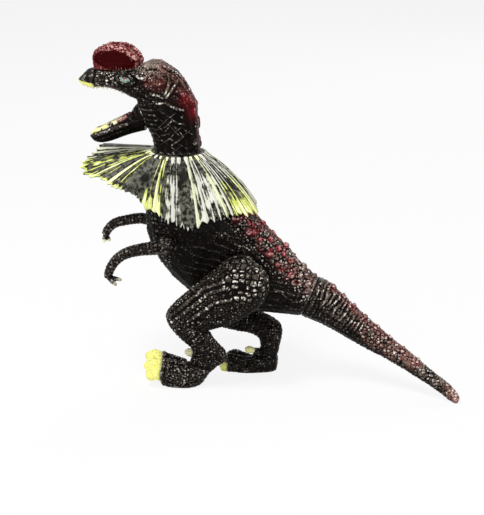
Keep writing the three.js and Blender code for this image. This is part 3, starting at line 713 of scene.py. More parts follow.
class Finish(ABC):
    """A surface: its material's name, the marks that its paints read, and its shader."""

    name: str
    reads: tuple[str, ...] = ()

    @abstractmethod
    def shader(self, tree: NodeTree) -> Node:
        """Adds the nodes that colour the surface, and gives the one that shades it."""

    def readings(self, tree: NodeTree, patterns: dict[str, float], detail: float,
                 ranges: dict[str, tuple[str, float, float]]) -> dict[str, NodeSocket]:
        """Adds what the paints lie by: the marks, the patterns, and soft steps in either.

        Args:
            tree: the material's node tree.
            patterns: each random pattern's size in millimetres.
            detail: how many finer layers the patterns have.
            ranges: for each step, what it reads, and where it starts and ends.

        Returns:
            Each one's socket by its name, and the surface's own place as "place".
        """
        read = {n: node(tree, "Attribute", attribute_name=n).outputs["Fac"] for n in self.reads}
        read["place"] = node(tree, "TexCoord").outputs["Object"]
        for name, size in patterns.items():
            read[name] = node(
                tree, "TexNoise", {"Vector": read["place"], "Scale": 1 / (size * MM), "Detail": detail},
            ).outputs["Fac"]
        for name, (source, low, high) in ranges.items():
            read[name] = node(
                tree, "MapRange", {"Value": read[source], "From Min": low, "From Max": high},
                interpolation_type="SMOOTHSTEP",
            ).outputs["Result"]
        return read

    def material(self) -> Material:
        """Builds the material, once for all the pieces that wear it.

        Returns:
            The material.
        """
        known = bpy.data.materials.get(self.name)
        if known:
            return known
        material = bpy.data.materials.new(self.name)
        material.use_nodes = True
        tree = material.node_tree
        tree.nodes.clear()
        node(tree, "OutputMaterial", {"Surface": self.shader(tree).outputs[0]})
        return material


@dataclass(frozen=True)
class DryBrushedPvc(Finish):
    """Soft PVC, moulded nearly black and painted by hand.

    The black is satin and slightly warm. A dry brush has left bronze-grey on whatever stands up, and
    thin red and yellow paints lie on the back, neck, claws and lips. Near-white painted highlights on
    the highest brushed specks, and pink ones on the red, stand in for the gloss's small bright
    reflections, and the claws' yellow turns ochre in random mottles and, as painted shade, in their creases.
    """

    name: str = "moulded_black_pvc_dry_brushed"
    base: str = "#040303"
    brown: str = "#0F0A08"
    bronze: str = "#4E453C"
    tan: str = "#84746A"
    # Near-white painted highlight on the highest brushed specks, partly the dry brush's palest paint,
    # standing in for the gloss's reflections.
    painted_glint: str = "#F0EBE2"
    red: str = "#6E161B"
    # Pink painted highlight on the peaks of the red paint.
    red_painted_highlight: str = "#C98588"
    pink: str = "#895C54"
    cream: str = "#E4E3BC"
    # Ochre under the claws' yellow shows in random mottles, and in the claws' creases as painted shade.
    ochre: str = "#CFCB68"
    yellow: str = "#F1EF8C"
    # Pattern sizes: clouds of warmer black, the brush's uneven load, the specks it leaves, and the
    # mould's grit, which is really about 0.1 mm and is drawn coarser so that it shows.
    mottle: float = 5.0
    drift: float = 2.6
    speck: float = 1.0
    grit: float = 0.45
    # Far below PVC's usual 0.5, because the studio is white all round and the black has to stay black; the
    # gloss's highlights are painted instead.
    specular: float = 0.035
    reads: tuple[str, ...] = ("raised", "brushed", "dust", "red", "pink", "cream", "yellow")

    def shader(self, tree: NodeTree) -> Node:
        """Lays the paints over the black, from the darkest to the claws' yellow.

        Args:
            tree: the material's node tree.

        Returns:
            The shader's node.
        """
        patterns = {"mottle": self.mottle, "drift": self.drift, "speck": self.speck}
        ranges = {
            "warmth": ("mottle", 0.35, 0.7),
            "proud": ("raised", 0.01, 0.11),
            "peak": ("raised", 0.06, 0.16),
            "level": ("raised", -0.17, -0.01),
            "mid": ("raised", -0.05, 0.03),
            "broken": ("speck", 0.48, 0.56),
            "thin": ("speck", 0.36, 0.46),
            "patchy": ("drift", 0.43, 0.6),
            "mottled": ("speck", 0.32, 0.5),
        }
        read = self.readings(tree, patterns, 2.5, ranges)
        layers = (
            (self.brown, ("warmth",)),
            (self.bronze, ("proud", "brushed", "thin")),
            (self.tan, ("dust", "mid", "thin")),
            (self.pink, ("pink", "mid", "thin")),
            (self.red, ("red",)),
            # Painted highlights: near-white on the brushed peaks, then pink on the red paint.
            (self.painted_glint, ("peak", "brushed", "broken", "patchy")),
            (self.red_painted_highlight, ("red", "peak", "broken")),
            (self.cream, ("cream",)),
            # Ochre, then yellow only out of the creases: the ochre left in the creases is painted shade.
            (self.ochre, ("yellow",)),
            (self.yellow, ("yellow", "level", "mottled")),
        )
        colour: Any = linear(self.base)
        for paint, covers in layers:
            cover = read[covers[0]]
            for other in covers[1:]:
                cover = node(tree, "Math", {0: cover, 1: read[other]}, operation="MULTIPLY").outputs[0]
            colour = node(tree, "Mix", {0: cover, 6: colour, 7: linear(paint)}, data_type="RGBA").outputs[2]
        rough = node(
            tree, "MapRange", {"Value": read["speck"], "To Min": 0.18, "To Max": 0.4},
        ).outputs["Result"]
        grit = node(tree, "TexVoronoi", {"Vector": read["place"], "Scale": 1 / (self.grit * MM)}).outputs[0]
        bump = node(tree, "Bump", {"Height": grit, "Strength": 0.3, "Distance": 0.12 * MM}).outputs["Normal"]
        return node(
            tree, "BsdfPrincipled",
            {"Base Color": colour, "Roughness": rough, "IOR": 1.5, "Specular IOR Level": self.specular,
             "Normal": bump},
        )


@dataclass(frozen=True)
class BrushedRuffPvc(Finish):
    """Thin soft PVC, moulded dark grey, with the ribs dry-brushed in yellow-green and grey-white.

    The brush ran from the neck to the hem, so the paint lies in streaks along the ribs and thins
    out between them.
    """

    name: str = "moulded_black_pvc_brushed_ribs"
    base: str = "#14140F"
    panel: str = "#66665B"
    yellow: str = "#D4DB6E"
    yellow_high: str = "#F6F7C6"
    white: str = "#D6D6CB"
    # Pattern sizes: the bristles' streaks, really about 0.15 mm and drawn wider so that they show, the
    # blots of a wet brush, and the patches where thin paint has reached the panels.
    streak: float = 0.45
    blot: float = 1.7
    patch: float = 9.0
    specular: float = 0.08
    reads: tuple[str, ...] = ("paint", "along", "around", "yellow")

    def shader(self, tree: NodeTree) -> Node:
        """Lays thin grey on the panels, then the brushed paint on the ribs.

        Args:
            tree: the material's node tree.

        Returns:
            The shader's node.
        """
        read = self.readings(tree, {"blots": self.blot, "patches": self.patch}, 3.0, {
            "grey": ("patches", 0.34, 0.5),
            "smudged": ("blots", 0.35, 0.65),
            "yellowed": ("yellow", 0.35, 0.65),
        })
        lie = node(tree, "CombineXYZ", {"X": read["around"], "Y": read["along"]}).outputs[0]
        streaks = node(
            tree, "TexNoise", {"Vector": lie, "Scale": 1 / self.streak, "Detail": 3.0},
        ).outputs["Fac"]
        broken = read["paint"]
        for pattern, share in ((streaks, 1.7), (read["blots"], 0.4)):
            broken = node(
                tree, "Math", {0: pattern, 1: share, 2: broken}, operation="MULTIPLY_ADD",
            ).outputs[0]
        for name, low, high in (("covered", 1.4, 1.54), ("thick", 1.6, 1.8)):
            read[name] = node(
                tree, "MapRange", {"Value": broken, "From Min": low, "From Max": high},
                interpolation_type="SMOOTHSTEP",
            ).outputs["Result"]
        ground = node(tree, "Math", {0: read["grey"], 1: read["smudged"]}, operation="MULTIPLY").outputs[0]
        paint = node(
            tree, "Mix", {0: read["thick"], 6: linear(self.yellow), 7: linear(self.yellow_high)},
            data_type="RGBA",
        ).outputs[2]
        paint = node(
            tree, "Mix", {0: read["yellowed"], 6: linear(self.white), 7: paint}, data_type="RGBA",
        ).outputs[2]
        colour = node(
            tree, "Mix", {0: ground, 6: linear(self.base), 7: linear(self.panel)}, data_type="RGBA",
        ).outputs[2]
        colour = node(tree, "Mix", {0: read["covered"], 6: colour, 7: paint}, data_type="RGBA").outputs[2]
        bump = node(
            tree, "Bump", {"Height": streaks, "Strength": 0.35, "Distance": 0.15 * MM},
        ).outputs["Normal"]
        return node(
            tree, "BsdfPrincipled",
            {"Base Color": colour, "Roughness": 0.4, "IOR": 1.5, "Specular IOR Level": self.specular,
             "Normal": bump},
        )


@dataclass(frozen=True)
class PaintedCrestPvc(Finish):
    """Soft PVC painted dark red, gloss in the scoop, with a pinkish dry brush over the ribbed rim."""

    name: str = "red_painted_crest_pvc"
    scoop: str = "#3A0204"
    rim: str = "#5A1216"
    high: str = "#D9A39C"
    foot: str = "#140A0A"
    # Size of the specks that the dry brush leaves.
    speck: float = 0.9
    specular: float = 0.035
    reads: tuple[str, ...] = ("raised", "rim", "brushed", "foot")

    def shader(self, tree: NodeTree) -> Node:
        """Lays the rim's red, its dry brush and the black foot over the scoop's red.

        Args:
            tree: the material's node tree.

        Returns:
            The shader's node.
        """
        read = self.readings(tree, {"speck": self.speck}, 2.0, {
            "proud": ("raised", 0.0, 0.12), "broken": ("speck", 0.47, 0.6),
        })
        brushed: Any = read["proud"]
        for other in ("broken", "brushed"):
            brushed = node(tree, "Math", {0: brushed, 1: read[other]}, operation="MULTIPLY").outputs[0]
        colour: Any = linear(self.scoop)
        for paint, cover in ((self.rim, read["rim"]), (self.high, brushed), (self.foot, read["foot"])):
            colour = node(tree, "Mix", {0: cover, 6: colour, 7: linear(paint)}, data_type="RGBA").outputs[2]
        return node(
            tree, "BsdfPrincipled",
            {"Base Color": colour, "Roughness": 0.3, "IOR": 1.5, "Specular IOR Level": self.specular},
        )


@dataclass(frozen=True)
class PaintedEye(Finish):
    """Gloss enamel on PVC: a pale green ball with a red pupil, dark where it meets the lids."""

    name: str = "gloss_enamel_eye"
    green: str = "#8FA898"
    shade: str = "#42564B"
    red: str = "#8E1F21"
    lid: str = "#0A0A09"
    # Size of the clouds where the brush thinned the enamel.
    cloud: float = 1.2
    reads: tuple[str, ...] = ("pupil", "edge")

    def shader(self, tree: NodeTree) -> Node:
        """Lays the clouds, the pupil and the dark rim over the green.

        Args:
            tree: the material's node tree.

        Returns:
            The shader's node.
        """
        read = self.readings(tree, {"cloud": self.cloud}, 2.0, {
            "clouded": ("cloud", 0.45, 0.65), "red": ("pupil", 0.35, 0.65), "rim": ("edge", 0.78, 0.95),
        })
        colour: Any = linear(self.green)
        for paint, cover in ((self.shade, "clouded"), (self.red, "red"), (self.lid, "rim")):
            colour = node(
                tree, "Mix", {0: read[cover], 6: colour, 7: linear(paint)}, data_type="RGBA",
            ).outputs[2]
        return node(tree, "BsdfPrincipled", {"Base Color": colour, "Roughness": 0.12, "IOR": 1.5})


@dataclass(frozen=True)
class Speckled(Finish):
    """A plain surface whose faint specks and fine ripple keep its gloss from looking new."""

    name: str
    colour: str
    speck_colour: str
    speck: float
    roughness: float
    metallic: float = 0.0
    ior: float = 1.5
    stretch: Point = (1.0, 1.0, 1.0)

    def shader(self, tree: NodeTree) -> Node:
        """Adds the specks and the ripple that they make.

        Args:
            tree: the material's node tree.

        Returns:
            The shader's node.
        """
        place = node(tree, "TexCoord").outputs["Object"]
        scale = tuple(1 / (self.speck * MM * s) for s in self.stretch)
        lie = node(tree, "VectorMath", {0: place, 1: scale}, operation="MULTIPLY").outputs[0]
        specks = node(tree, "TexNoise", {"Vector": lie, "Scale": 1.0, "Detail": 3.0}).outputs["Fac"]
        cover = node(tree, "MapRange", {"Value": specks, "From Min": 0.5, "From Max": 0.72}).outputs["Result"]
        colour = node(
            tree, "Mix", {0: cover, 6: linear(self.colour), 7: linear(self.speck_colour)},
            data_type="RGBA",
        ).outputs[2]
        bump = node(
            tree, "Bump", {"Height": specks, "Strength": 0.2, "Distance": 0.05 * MM},
        ).outputs["Normal"]
        return node(
            tree, "BsdfPrincipled",
            {"Base Color": colour, "Roughness": self.roughness, "Metallic": self.metallic, "IOR": self.ior,
             "Normal": bump},
        )


@dataclass(frozen=True)
class MattWhiteCard(Finish):
    """Coated card, printed matt white: the floor, near white where it is seen and darker in a shadow."""

    name: str = "matt_white_card"
    colour: str = "#F0F0F0"
    glow_colour: str = "#FFFFFF"
    glow: float = 0.85

    def shader(self, tree: NodeTree) -> Node:
        """Mixes the card with a white glow that only the background's rays see.

        Args:
            tree: the material's node tree.

        Returns:
            The shader's node.
        """
        card = node(tree, "BsdfDiffuse", {"Color": linear(self.colour)}).outputs[0]
        glow = node(tree, "Emission", {"Color": linear(self.glow_colour), "Strength": 1.0}).outputs[0]
        share = node(tree, "Math", {0: background_rays(tree), 1: self.glow}, operation="MULTIPLY").outputs[0]
        return node(tree, "MixShader", {0: share, 1: card, 2: glow})


BLACK_PVC = DryBrushedPvc()
# Acetal, injection moulded: waxy, off-white and slightly cloudy.
ACETAL = Speckled("moulded_acetal", "#8C8B86", "#7A7974", speck=1.5, roughness=0.4, ior=1.48)
# Steel wire, drawn: long lines along the pin, really about 0.03 mm wide and drawn coarser so that they show.
STEEL_WIRE = Speckled(
    "drawn_steel_wire", "#A9ABAD", "#8A8C8F", speck=0.15, roughness=0.28, metallic=1.0,
    stretch=(1.0, 30.0, 1.0),
)
# Soft PVC painted by hand: a moist pink-red with darker blotches.
TONGUE_PVC = Speckled("red_painted_tongue_pvc", "#9C4447", "#6A2226", speck=1.3, roughness=0.35)
# PVC painted ivory: teeth, with browner specks near the gums.
IVORY_PVC = Speckled("ivory_painted_pvc", "#E9E6CC", "#B9B394", speck=0.7, roughness=0.3)


# Torso


@dataclass
class Torso:
    """The two glued torso shells, cast as one body and parted at the mid-plane."""

    grain: float = 0.42
    spine: Path = (
        (-18.0, 0.0, 54.0), (-4.5, 0.0, 39.6), (4.2, 0.0, 31.4), (10.2, 0.0, 25.4), (16.2, 0.0, 19.0),
        (21.2, 0.0, 14.2), (25.7, 0.0, 9.1), (30.0, 0.0, 4.4), (33.0, 0.0, 1.7), (36.2, 0.0, -0.1),
    )
    warts: Path = (
        (2.2, -9.3, 25.2), (8.2, 0.0, 26.5), (12.6, -4.8, 19.7), (13.2, -8.5, 13.3), (19.5, 0.0, 15.0),
        (22.6, -4.1, 9.3), (23.3, -7.4, 2.9), (28.4, 0.0, 4.9), (30.7, -3.7, 1.2), (31.5, -6.6, -2.1),
        (34.2, 0.0, 0.0),
    )
    rump_streaks: tuple[Path, ...] = (
        ((13.0, -12.6, 5.0), (18.3, -10.1, 4.6), (24.0, -8.8, 2.2)),
        ((15.5, -12.2, 0.5), (23.1, -9.1, -0.9), (29.5, -7.6, -3.6)),
        ((16.1, -12.0, -3.6), (22.0, -10.8, -5.2), (29.5, -8.6, -7.4)),
        ((18.0, -11.0, -8.0), (25.0, -9.4, -9.6), (31.0, -7.0, -11.6)),
    )
    chest: Patch = Patch((-46.0, 22.0), (11.0, 22.0), 12.0)
    wart_spacing: float = 3.8
    wart_radius: float = 1.75
    wart_height: float = 0.85
    # Spacing and height of the scales.
    back_scales: Pair = (1.55, 0.5)
    chest_plates: Pair = (2.6, 0.5)
    flank_scales: Pair = (1.3, 0.2)
    # How far the skin is let in where the legs swing past it, so that no scale touches them.
    leg_room: float = 0.55

    def plugs(self) -> list[Plug]:
        """Stops the six pivots' holes.

        Returns:
            The discs.
        """
        stops = [Plug(side.outward * 13.0, side.outward, 5.5) for side in Side]
        stops += [Plug(SHOULDER * (1.0, 0.0, 1.0) + side.outward * 12.0, side.outward, 3.0) for side in Side]
        stops.append(Plug(np.array([NECK[0], 0.0, 60.5]), np.array([0.0, 0.0, 1.0]), 6.5))
        stops.append(Plug(TAIL_ROOT, TAIL_AIM, 5.5))
        return stops

    def build(self) -> None:
        """Casts, sculpts and parts the torso."""
        skin = Casting.over("torso", ["torso_left_shell", "torso_right_shell"], self.grain, self.plugs())
        p = skin.points
        across = np.abs(p[:, 1])
        seat = smoothstep(12.4, 12.9, across) * falloff(13.2, 14.4, from_axis(p))
        cup = smoothstep(9.5, 11.0, across) * falloff(4.8, 5.6, from_axis(p, SHOULDER))
        root = falloff(0.3, 2.0, np.abs((p - TAIL_ROOT) @ TAIL_AIM))
        collar = smoothstep(58.5, 60.2, p[:, 2])
        swept = smoothstep(9.0, 10.5, across) * falloff(21.0, 27.0, from_axis(p))
        fixed = np.maximum.reduce([seat, cup, root, collar])
        skin.smooth(2.4, 1.0 - 0.92 * fixed)
        wart = self.sculpt(skin)
        skin.height -= self.leg_room * swept
        skin.press(1.0 - fixed)
        self.paint(skin, wart)
        whole = skin.finished(BLACK_PVC)
        for side in Side:
            show_half(whole, side, "torso", "shell")

    def sculpt(self, skin: Casting) -> Array:
        """Raises warts and pebbles on the back, plates on the chest, folds and streaks on the flank.

        Args:
            skin: the torso's casting.

        Returns:
            How strongly each point lies on a wart.
        """
        p = skin.points
        from_spine, _ = along_path(p, self.spine)
        back = falloff(14.0, 18.0, from_spine)
        chest = self.chest.weight(p)
        flank = (1.0 - back) * (1.0 - chest)
        first, _ = cells(p, self.wart_spacing, 17)
        wart = np.sqrt(np.clip(1.0 - (first / self.wart_radius) ** 2, 0.0, 1.0))
        wart = wart * falloff(12.0, 15.0, from_spine)
        wart *= smoothstep(-0.45, -0.1, noise(p, 4.5, 18))
        skin.height += self.wart_height * wart
        wart = np.maximum(wart, skin.domes(self.warts, 1.9, 0.5))
        skin.pebbles(*self.back_scales, 11, back * falloff(0.0, 0.3, wart))
        skin.pebbles(*self.chest_plates, 12, chest, (0.8, 1.5, 0.7))
        skin.pebbles(*self.flank_scales, 13, flank)
        waves = np.sin((p[:, 0] * 0.4 + p[:, 2]) * 1.5 + 2.2 * noise(p, 6.0, 14))
        folds = smoothstep(0.55, 1.0, waves) * smoothstep(-0.3, 0.4, noise(p * (0.4, 1.0, 1.0), 3.5, 15))
        skin.height += 0.3 * folds * flank
        for path in self.rump_streaks:
            skin.stroke(path, 1.0, 0.5)
        return wart

    def paint(self, skin: Casting, wart: Array) -> None:
        """Marks the red warts, the brushed pebbles and the streaks.

        Args:
            skin: the torso's casting.
            wart: how strongly each point lies on a wart.
        """
        p = skin.points
        from_spine, _ = along_path(p, self.spine)
        near_spine = falloff(10.0, 15.0, from_spine)
        near_spine = near_spine * (1.0 - 0.8 * smoothstep(20.0, 28.0, p[:, 0]))
        skin.mark("red", smoothstep(0.1, 0.4, wart) * near_spine * smoothstep(-0.75, -0.3, noise(p, 3.6, 19)))
        skin.mark("red", 0.4 * near_spine * smoothstep(0.0, 0.5, noise(p, 4.0, 16)))
        upper, lower = smoothstep(9.0, 16.0, from_spine), smoothstep(16.0, 19.0, from_spine)
        skin.mark("brushed", 1.0 - 0.55 * upper - 0.35 * lower)
        skin.mark("brushed", 0.3 * self.chest.weight(p))
        skin.mark("brushed", 0.7 * Patch((4.0, 14.0), (18.0, 15.0), -45.0, 0.4).weight(p))
        skin.mark("dust", 0.8 * falloff(8.0, 14.0, from_spine))
        for path in self.rump_streaks:
            skin.mark("brushed", 0.8 * skin.near(path, 1.8))


# Head


@dataclass
class Eye:
    """An almond of gloss enamel between two lids, on one side of the head."""

    middle: Point = (-57.0, -9.1, 98.0)
    along: Point = (0.948, -0.2, -0.249)
    outward: Point = (-0.162, -0.973, 0.163)
    half_length: float = 3.4
    half_height: float = 1.75
    bulge: float = 1.8
    pupil: Pair = (0.1, 0.55)
    pupil_half: Pair = (0.65, 0.75)
    rings: int = 18
    around: int = 56

    def half_width(self, u: Array) -> Array:
        """Gives the almond's half height at places along it: two arcs that meet at the corners."""
        radius = (self.half_length**2 + self.half_height**2) / (2 * self.half_height)
        return np.sqrt(np.maximum(radius**2 - u**2, 0.0)) - (radius - self.half_height)

    def outline(self, scale: float) -> Array:
        """Draws the almond's edge.

        Args:
            scale: its size, with 1 for the full almond.

        Returns:
            Places along and across the almond, as a closed loop.
        """
        turn = np.linspace(0.0, 2 * math.pi, self.around + 1)
        u = self.half_length * np.cos(turn)
        return scale * np.stack([u, self.half_width(u) * np.sign(np.sin(turn))], 1)

    def placed(self, flat: Array, out: Array | float, side: Side) -> Array:
        """Puts places onto one side of the head.

        Args:
            flat: places along and across the almond.
            out: how far each stands out of it.
            side: the side of the head.

        Returns:
            The places on the figure.
        """
        along, outward = np.array(self.along), np.array(self.outward)
        up = np.cross(outward, along)
        out = np.broadcast_to(out, len(flat))
        place = np.array(self.middle) + flat[:, :1] * along + flat[:, 1:] * up + out[:, None] * outward
        return place * (1.0, -side.value, 1.0)

    def sculpt_socket(self, skin: Casting) -> None:
        """Sinks the almond and raises the lids round it, on both sides.

        Args:
            skin: the head's casting.
        """
        for side in Side:
            near = np.linalg.norm(skin.points - self.placed(np.zeros((1, 2)), 0.0, side), axis=1) < 8.0
            p = skin.points[near] * (1.0, -side.value, 1.0) - np.array(self.middle)
            up = np.cross(self.outward, self.along)
            flat = np.stack([p @ np.array(self.along), p @ up], 1)
            spread = np.hypot(flat[:, 0] / self.half_length, flat[:, 1] / self.half_height)
            skin.height[near] -= 1.6 * falloff(0.8, 1.05, spread)
            upper = smoothstep(-0.3, 0.5, flat[:, 1])
            skin.height[near] += (0.35 + 0.7 * upper) * hump(spread - 1.25, 0.4)
            skin.height[near] -= 0.4 * hump(spread - 1.8, 0.36)

    def build(self, side: Side) -> None:
        """Builds the almond as a closed lens and paints it.

        Args:
            side: the side of the head.
        """
        shares = np.sin(np.linspace(0.0, math.pi / 2, self.rings + 1))
        loops = [self.outline(s)[:-1] for s in shares[1:]]
        flat = np.concatenate([np.zeros((1, 2)), *loops, np.zeros((1, 2))])
        share = np.concatenate([[0.0], np.repeat(shares[1:], self.around), [1.0]])
        rise = -0.35 + self.bulge * (1.0 - share**2) ** 0.6
        points = self.placed(flat, rise, side)
        n = self.around
        faces = [(0, 1 + i, 1 + (i + 1) % n) for i in range(n)]
        for ring in range(self.rings - 1):
            a, b = 1 + ring * n, 1 + (ring + 1) * n
            faces += [(a + i, b + i, b + (i + 1) % n, a + (i + 1) % n) for i in range(n)]
        last = len(points) - 1
        rim = 1 + (self.rings - 1) * n
        faces += [(last, rim + (i + 1) % n, rim + i) for i in range(n)]
        if side is Side.RIGHT:
            faces = [face[::-1] for face in faces]
        name = f"eye_{side.label}"
        mesh = plain_mesh(name, points, faces)
        offset = (flat - np.array(self.pupil)) / np.array(self.pupil_half)
        pupil = falloff(0.8, 1.15, np.linalg.norm(offset, axis=1))
        write_marks(mesh, PaintedEye(), {"pupil": pupil, "edge": share})
        show(mesh, name, "head")


@dataclass
class ToothRow:
    """Small back-curved teeth along both edges of one jaw, as one piece."""

    name: str
    body: str
    seed: int
    length: float = 1.1
    radius: float = 0.5
    around: int = 8
    profile: tuple[Pair, ...] = ((-0.45, 1.0), (0.0, 1.0), (0.4, 0.8), (0.75, 0.5), (0.95, 0.2))

    def build(self, places: Sequence[Array], aim: Point) -> None:
        """Builds the row.

        Args:
            places: a place on the left edge for each tooth.
            aim: the way the teeth point.
        """
        down = np.array(aim) / np.linalg.norm(aim)
        turn = np.arange(self.around) * 2 * math.pi / self.around
        side_way = np.cross(down, (0.0, 1.0, 0.0))
        ring = np.cos(turn)[:, None] * side_way + np.sin(turn)[:, None] * np.array([0.0, 1.0, 0.0])
        draws = scattered(np.stack([np.arange(len(places))] * 3, -1), self.seed, 2)
        points: list[Array] = []
        faces: list[tuple[int, ...]] = []
        n = self.around
        for mirror in (1.0, -1.0):
            for place, (long, fat) in zip(places, draws):
                start = len(points)
                length = self.length * (0.65 + 0.7 * long)
                radius = self.radius * (0.8 + 0.4 * fat)
                root = place * (1.0, mirror, 1.0)
                for share, width in self.profile:
                    bend = np.array([0.25 * max(share, 0.0) ** 2 * length, 0.0, 0.0])
                    middle = root + down * share * length + bend
                    points.extend(middle + ring * radius * width)
                points.append(root + down * length + np.array([0.25 * length, 0.0, 0.0]))
                for k in range(len(self.profile) - 1):
                    a, b = start + k * n, start + (k + 1) * n
                    faces += [(a + i, a + (i + 1) % n, b + (i + 1) % n, b + i) for i in range(n)]
                top, tip = start + (len(self.profile) - 1) * n, len(points) - 1
                faces += [(top + i, top + (i + 1) % n, tip) for i in range(n)]
                faces.append(tuple(range(start, start + n))[::-1])
        mesh = plain_mesh(self.name, np.array(points), faces)
        write_marks(mesh, IVORY_PVC, {})
        show(mesh, self.name, self.body)


@dataclass
class HeadAndNeck:
    """The two head halves, cast as one body and parted at the mid-plane, with eyes and upper teeth."""

    grain: float = 0.32
    brow: Path = (
        (-62.5, -5.6, 100.2), (-60.0, -6.6, 101.4), (-55.6, -8.2, 101.6), (-52.5, -9.2, 100.4),
        (-50.1, -9.9, 99.2), (-47.5, -10.3, 98.4),
    )
    snout_groove: Path = (
        (-72.9, -3.1, 101.4), (-72.7, -5.9, 98.9), (-73.4, -6.1, 96.0), (-74.0, -4.1, 93.6),
    )
    cheek_groove: Path = (
        (-50.9, -9.1, 90.4), (-47.2, -10.6, 90.0), (-44.6, -11.3, 88.5), (-41.6, -11.8, 87.4),
    )
    cheek_seam: Path = (
        (-52.6, -8.8, 83.5), (-50.8, -9.4, 81.0), (-49.0, -9.6, 79.0), (-46.6, -9.4, 77.6),
    )
    folds: tuple[Path, ...] = (
        ((-32.2, -5.2, 97.3), (-34.1, -8.9, 94.1), (-36.6, -11.1, 90.3)),
        ((-35.4, -8.3, 96.9), (-36.2, -9.9, 94.3), (-37.4, -11.1, 91.5)),
        ((-36.6, -6.3, 100.6), (-35.9, -8.0, 98.0), (-36.2, -9.4, 95.8)),
    )
    dashes: tuple[Path, ...] = (
        ((-44.1, -11.3, 91.8), (-41.5, -11.6, 91.1), (-39.1, -11.4, 90.5), (-38.0, -11.4, 89.5)),
        ((-42.9, -11.6, 87.9), (-40.3, -11.9, 87.4), (-36.6, -11.4, 87.5), (-34.2, -11.0, 85.8),
         (-31.9, -10.2, 84.8), (-29.2, -8.8, 83.8)),
    )
    neck_lines: tuple[Path, ...] = (
        ((-40.9, -10.3, 74.5), (-37.3, -11.3, 76.1), (-33.9, -11.2, 79.3), (-31.1, -10.4, 77.8),
         (-28.8, -9.4, 77.2)),
        ((-33.1, -11.0, 76.2), (-28.9, -9.6, 71.4), (-31.6, -10.9, 69.0), (-34.1, -11.3, 67.4)),
        ((-44.0, -6.3, 68.5), (-39.8, -9.9, 69.2), (-38.0, -10.8, 68.8), (-35.3, -11.2, 70.3)),
        ((-42.5, -7.5, 71.5), (-39.0, -10.4, 71.8), (-36.0, -11.2, 72.6)),
    )
    nape: Path = (
        (-39.0, -3.4, 103.2), (-37.0, -3.6, 102.3), (-32.8, -1.8, 100.0), (-29.0, -0.3, 95.3),
        (-27.2, -0.9, 92.0),
    )
    red_neck: Path = (
        (-31.4, -7.6, 92.7), (-28.0, -5.9, 89.6), (-25.1, -3.3, 85.8), (-24.7, -3.8, 82.6),
    )
    neck_back: Path = ((-25.0, 0.0, 90.0), (-24.3, 0.0, 84.0), (-23.6, 0.0, 76.0), (-23.4, 0.0, 66.0))
    neck_knobs: Path = (
        (-24.7, -1.1, 85.8), (-23.9, -2.7, 77.3), (-23.8, -3.1, 74.8), (-24.2, -5.2, 67.6),
        (-23.5, -4.3, 65.3),
    )
    crown_bump: Path = ((-46.5, -5.4, 104.4), (-44.0, -5.6, 104.8), (-41.8, -5.2, 104.2))
    crown_groove: Path = ((-46.7, -8.2, 102.7), (-43.9, -7.9, 102.9), (-41.1, -6.9, 103.1))
    bottom: float = 62.6
    muzzle: Patch = Patch((-67.0, 97.6), (6.0, 4.2), 10.0)
    crown: Patch = Patch((-46.0, 102.5), (8.0, 4.0), -8.0)
    # Spacing and height of the scales.
    muzzle_scales: Pair = (1.6, 0.5)
    crown_scales: Pair = (1.2, 0.32)
    face_scales: Pair = (1.35, 0.2)

    def build(self) -> None:
        """Casts, sculpts and parts the head, then adds the eyes and the upper teeth."""
        skin = Casting.over("head", ["head_left_half", "head_right_half"], self.grain)
        p = skin.points
        across = np.abs(p[:, 1])
        foot = falloff(self.bottom, self.bottom + 1.4, p[:, 2])
        knuckle = falloff(5.5, 7.0, from_axis(p, JAW_HINGE)) * falloff(7.4, 8.2, across)
        fixed = np.maximum(foot, knuckle)
        skin.smooth(1.75, 1.0 - 0.9 * fixed)
        eye = Eye()
        self.sculpt(skin)
        eye.sculpt_socket(skin)
        skin.press(1.0 - fixed)
        self.paint(skin)
        edge = self.upper_edge(skin)
        whole = skin.finished(BLACK_PVC)
        for side in Side:
            show_half(whole, side, "head", "half")
            eye.build(side)
        ToothRow("upper_teeth", "head", 41).build(edge, (0.15, 0.0, -1.0))

    def snout(self, p: Array) -> Array:
        """Gives the smooth wedge at the tip of the snout."""
        return smoothstep(72.9, 73.7, -p[:, 0]) * smoothstep(90.5, 92.0, p[:, 2])

    def sculpt(self, skin: Casting) -> None:
        """Raises brows, lips, folds and scales, and cuts the grooves between them.

        Args:
            skin: the head's casting.
        """
        p = skin.points
        snout = self.snout(p)
        neck = falloff(82.0, 88.0, p[:, 2])
        muzzle = self.muzzle.weight(p)
        skin.pebbles(*self.muzzle_scales, 21, muzzle)
        skin.height += 0.12 * snout * smoothstep(-0.2, 0.5, noise(p * (1.0, 1.0, 0.2), 0.9, 28))
        crown = self.crown.weight(p)
        skin.pebbles(*self.crown_scales, 22, crown)
        skin.pebbles(*self.face_scales, 23, (1.0 - snout) * (1.0 - neck) * (1.0 - muzzle) * (1.0 - crown))
        skin.stroke(self.brow, 1.5, 0.75)
        skin.stroke(self.snout_groove, 1.1, -0.6)
        skin.stroke(self.crown_bump, 3.6, 1.5)
        skin.stroke(self.crown_groove, 0.9, -0.6)
        skin.stroke(self.cheek_groove, 0.9, -0.45)
        skin.stroke(self.cheek_seam, 1.0, 0.55)
        for path in self.folds:
            skin.stroke(path, 0.75, 0.5)
        for path in self.dashes:
            skin.domes(spaced(path, 1.5), 0.8, 0.5)
        for path in self.neck_lines:
            skin.stroke(path, 0.6, 0.35)
        self.lattice(skin, neck)
        skin.domes(self.neck_knobs, 1.9, 0.9)
        skin.stroke(self.red_neck, 2.6, 0.5)
        for path in self.neck_grooves():
            skin.stroke(path, 0.8, -0.45)
        skin.domes(spaced(self.nape, 2.1), 1.3, 0.4)
        throat = smoothstep(40.5, 43.5, -p[:, 0]) * neck
